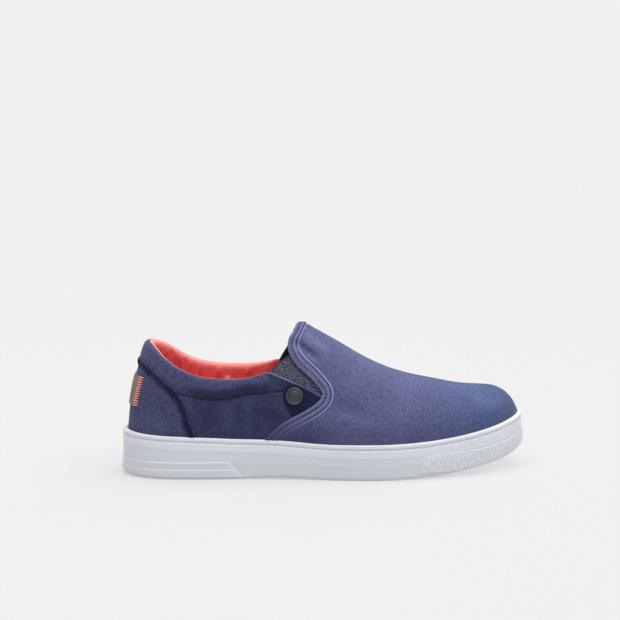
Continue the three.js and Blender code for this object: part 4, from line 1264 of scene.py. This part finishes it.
def make_cup_sole():
    turn = ring_turns(960)
    along = station_of(turn)
    rows = np.concatenate([np.linspace(*row) for row in WALL_ROWS])[:, None]
    shares = shares_of(48)[1:]
    height = WALL_HEIGHT * rim_share(along)
    drop = np.concatenate([rows + 0 * turn, rows[-1] + (height - rows[-1]) * shares**0.93])
    z = rim_at(along) - drop
    inset = wall_inset(drop, along) - wall_outset(along * SOLE_LENGTH, z, along)
    wall = lifted(outline(turn + 0 * z, inset), z)
    rim_climb = climb_to(turn, rim_at(along))
    inner = surface(turn, rim_climb, 0.15)
    inner_low = surface(turn, np.maximum(rim_climb - 0.08, 0), -0.6)
    rim = [inner * (1 - s) + wall[0] * s + [0, 0, 0.25 * math.sin(s * math.pi)] for s in RIM_SHARES]
    points = np.concatenate([np.stack([inner_low, inner - [0, 0, 0.35], *rim]), wall])
    # Painted shade in the groove under the lip; the rows over the rim a little darker, and the wall darker
    # below the band.
    wall_shade = 0.2 * hump(drop - LIP_HEIGHT - 0.55, 0.5) + 0.27 * ramp(drop, 6, 4)
    shade = np.concatenate([np.full((len(points) - len(wall), len(turn)), 0.1), wall_shade])
    grid_piece("cup_sole_wall", points, rubber, "sole_rubber", "cup_sole", wrap=True, shade=shade)
    return wall[-1]


def make_toe_texture():
    """Crosshatched skin on the toe panel: a fine grid of small raised diamonds."""
    reach = halve(lambda t: station_of(t) > TOE_PANEL_START - 0.02, 1.5, math.pi, np.zeros(1))[0]
    turn = np.linspace(reach, 2 * math.pi - reach, 1180)
    along = station_of(turn)
    x = along * SOLE_LENGTH
    low = np.maximum(TOE_PANEL_FOOT, bottom_at(along) + 0.8) + 0.3
    high = rim_at(along) - TOE_PANEL_TOP - 0.6 - TEXTURE_FALL * ramp(along, 0.8, 0.12)
    z = low + (high - low) * shares_of(62)
    start = TOE_PANEL_START * SOLE_LENGTH + 4.0 + (z - TOE_PANEL_FOOT) * TEXTURE_SLANT
    run = run_along(outline(turn, 1.0))
    lines = [np.sin(math.pi * (run + way * z) / TEXTURE_PITCH) ** 2 for way in (1, -1)]
    hatch = np.minimum(lines[0], 0.55 + 0.45 * lines[1])
    inside = ramp(x - start, 0, 0.3) * ramp(z - low, 0, 0.25) * ramp(high - z, 0, 0.25)
    inset = wall_inset(rim_at(along) - z, along + 0 * z) - wall_outset(x, z, along)
    inset = inset - 0.06 - (TEXTURE_DEPTH * (hatch - 0.1) + 0.12) * inside + 0.5 * (x < start - 0.2)
    points = lifted(outline(turn + 0 * z, inset), z)
    # Painted shade in the hatch's grooves.
    shade = limit(1.15 - hatch * 3.2) * inside
    grid_piece("toe_texture", points, toe_rubber_with_painted_light, "sole_rubber", flip=0, shade=shade)


def tread_relief(x, y, along):
    """Depth of the tread under the sole: wave grooves with a plain border and waist."""
    wave = np.sin(2 * math.pi * (x + GROOVE_SWAY * np.sin(2 * math.pi * y / SWAY_PITCH)) / GROOVE_PITCH)
    return GROOVE_HEIGHT * ramp(wave, 0.1, 0.35) * sum(between(along, *field) for field in TREAD_FIELDS)


def make_tread(edge):
    """Underside of the sole, from its edge in to the middle line."""
    along = station_of(ring_turns(len(edge)))
    middle = np.stack([np.clip(along * SOLE_LENGTH, 22, SOLE_LENGTH - 26), axis_at(along)], -1)
    shares = np.array([0, 0.02, 0.05, *np.linspace(0.09, 1, 64)])[:, None]
    plan = part_way(edge[:, :2], middle, shares)
    at = plan[..., 0] / SOLE_LENGTH
    inside = ramp(shares * np.linalg.norm(edge[:, :2] - middle, axis=1), 5, 1.0)
    relief = tread_relief(plan[..., 0], plan[..., 1], at) * inside
    points = lifted(plan, bottom_at(at) + relief)
    points[0] = edge
    # Painted shade in the tread's grooves.
    shade = limit(0.4 * relief)
    grid_piece("outsole_tread", points, rubber, "sole_rubber", "cup_sole", wrap=True, shade=shade)


def make_footbed():
    """Cloth-covered footbed with a cupped heel."""
    turn = ring_turns(240)
    foot = last_point(turn, 0)
    edge = surface(turn, climb_to(turn, foot[:, 2] + 7.0), -2.0)
    along = np.clip(station_of(turn), 0.08, 0.93)
    middle = np.stack([along * SOLE_LENGTH, axis_at(along)], -1)
    shares = shares_of(50)
    plan = part_way(edge[:, :2], middle, shares)
    cup = FOOTBED_CUP * limit(1 - shares / 0.35) ** 2
    z = floor_at(limit(plan[..., 0] / SOLE_LENGTH)) + GAP + FOOTBED_HEIGHT + cup
    points = lifted(plan, z)
    shade = np.full(z.shape, 0.15)
    grid_piece("footbed_cloth", points, lining_cloth, "footbed", "insole", wrap=True, shade=shade)


# Stage, light and camera

FLOOR_TONE = 0.871
FLOOR_LIGHT = 1.5
SHADOW_SHARE = 0.55
TOE_SHADOW = 0.5
STAGE = dict(width=8.0, front=-4.0, back=3.0, radius=1.5, height=5.0)
WORLD_LIGHT = 0.25
SUN_DIRECTION = (0.12, -0.12, 0.98)
SUN_STRENGTH = 3.8
SUN_SPREAD = 95
VIEW = dict(azimuth=1.5, elevation=9.5, roll=-1.0)
VIEW_DISTANCE = 1.6
VIEW_TARGET = (0, 0, 0.052)
LENS = 128.5
SHIFT = (-0.0197, 0.1398)


def floor_material():
    """A paper floor that glows to a flat pale grey and takes only a faint shadow."""
    nodes = Nodes("pale_floor", (255, 255, 255), 1.0, Specular_IOR_Level=0.0)
    away = nodes.add("ShaderNodeVectorMath", {0: nodes.place}, operation="LENGTH").outputs["Value"]
    fade_range = {0: away, 1: 0.2, 2: 0.9, 3: SHADOW_SHARE, 4: 0.0}
    fade = nodes.add("ShaderNodeMapRange", fade_range, interpolation_type="SMOOTHSTEP").outputs[0]
    toe_range = {0: nodes.split(nodes.place)[0], 1: 0.03, 2: 0.12, 3: 1.0, 4: TOE_SHADOW}
    share = nodes.times(fade, nodes.add("ShaderNodeMapRange", toe_range).outputs[0])
    paper = nodes.add("ShaderNodeBsdfDiffuse", {"Color": (*[FLOOR_TONE / FLOOR_LIGHT] * 3, 1)})
    glow = nodes.add("ShaderNodeEmission", {"Color": (*[FLOOR_TONE] * 3, 1)})
    blend = nodes.add("ShaderNodeMixShader", {0: share, 1: glow.outputs[0], 2: paper.outputs[0]})
    nodes.feed(nodes.tree.nodes["Material Output"].inputs["Surface"], blend.outputs[0])
    return nodes.material


def make_stage():
    width, front, back, radius, height = STAGE.values()
    curve = [math.pi / 2 * k / 24 for k in range(1, 25)]
    profile = [(front, 0.0), (back, 0.0)]
    profile += [(back + radius * math.sin(a), radius * (1 - math.cos(a))) for a in curve]
    profile.append((back + radius, height))
    points = np.array([[(x, y, z) for x in (-width, width)] for y, z in profile]) * 1000 + ORIGIN
    mesh_piece("floor", points, grid_faces(len(profile), 2), floor_material())


def make_lights():
    world = bpy.data.worlds.new("studio")
    bpy.context.scene.world = world
    world.use_nodes = True
    background = world.node_tree.nodes["Background"].inputs
    background["Color"].default_value = (1, 1, 1, 1)
    background["Strength"].default_value = WORLD_LIGHT
    data = bpy.data.lights.new("overhead", "SUN")
    data.energy = SUN_STRENGTH
    data.angle = math.radians(SUN_SPREAD)
    light = bpy.data.objects.new("overhead", data)
    light.matrix_world = (-Vector(SUN_DIRECTION)).to_track_quat("-Z", "Y").to_matrix().to_4x4()
    bpy.context.scene.collection.objects.link(light)


def make_camera():
    """The photograph's view: nearly square on to the outer side, a little above the shoe."""
    azimuth, elevation, roll = (math.radians(angle) for angle in VIEW.values())
    level = math.cos(elevation)
    back = Vector((math.sin(azimuth) * level, -math.cos(azimuth) * level, math.sin(elevation)))
    data = bpy.data.cameras.new("view")
    data.lens, data.sensor_width = LENS, 36
    data.shift_x, data.shift_y = SHIFT
    data.clip_start, data.clip_end = 0.05, 50
    camera = bpy.data.objects.new("view", data)
    place = Matrix.Translation(Vector(VIEW_TARGET) + back * VIEW_DISTANCE)
    facing = (-back).to_track_quat("-Z", "Y").to_matrix().to_4x4()
    camera.matrix_world = place @ facing @ Matrix.Rotation(roll, 4, "Z")
    bpy.context.scene.collection.objects.link(camera)
    bpy.context.scene.camera = camera


make_vamp()
make_vamp_lining()
make_vamp_stitches()
make_quarters()
make_collar_lining()
make_counter_threads()
make_gore(1)
make_gore(-1)
make_badge()
make_button()
make_heel_patch()
make_tread(make_cup_sole())
make_toe_texture()
make_footbed()
make_stage()
make_lights()
make_camera()
bpy.context.scene.view_settings.view_transform = "Standard"
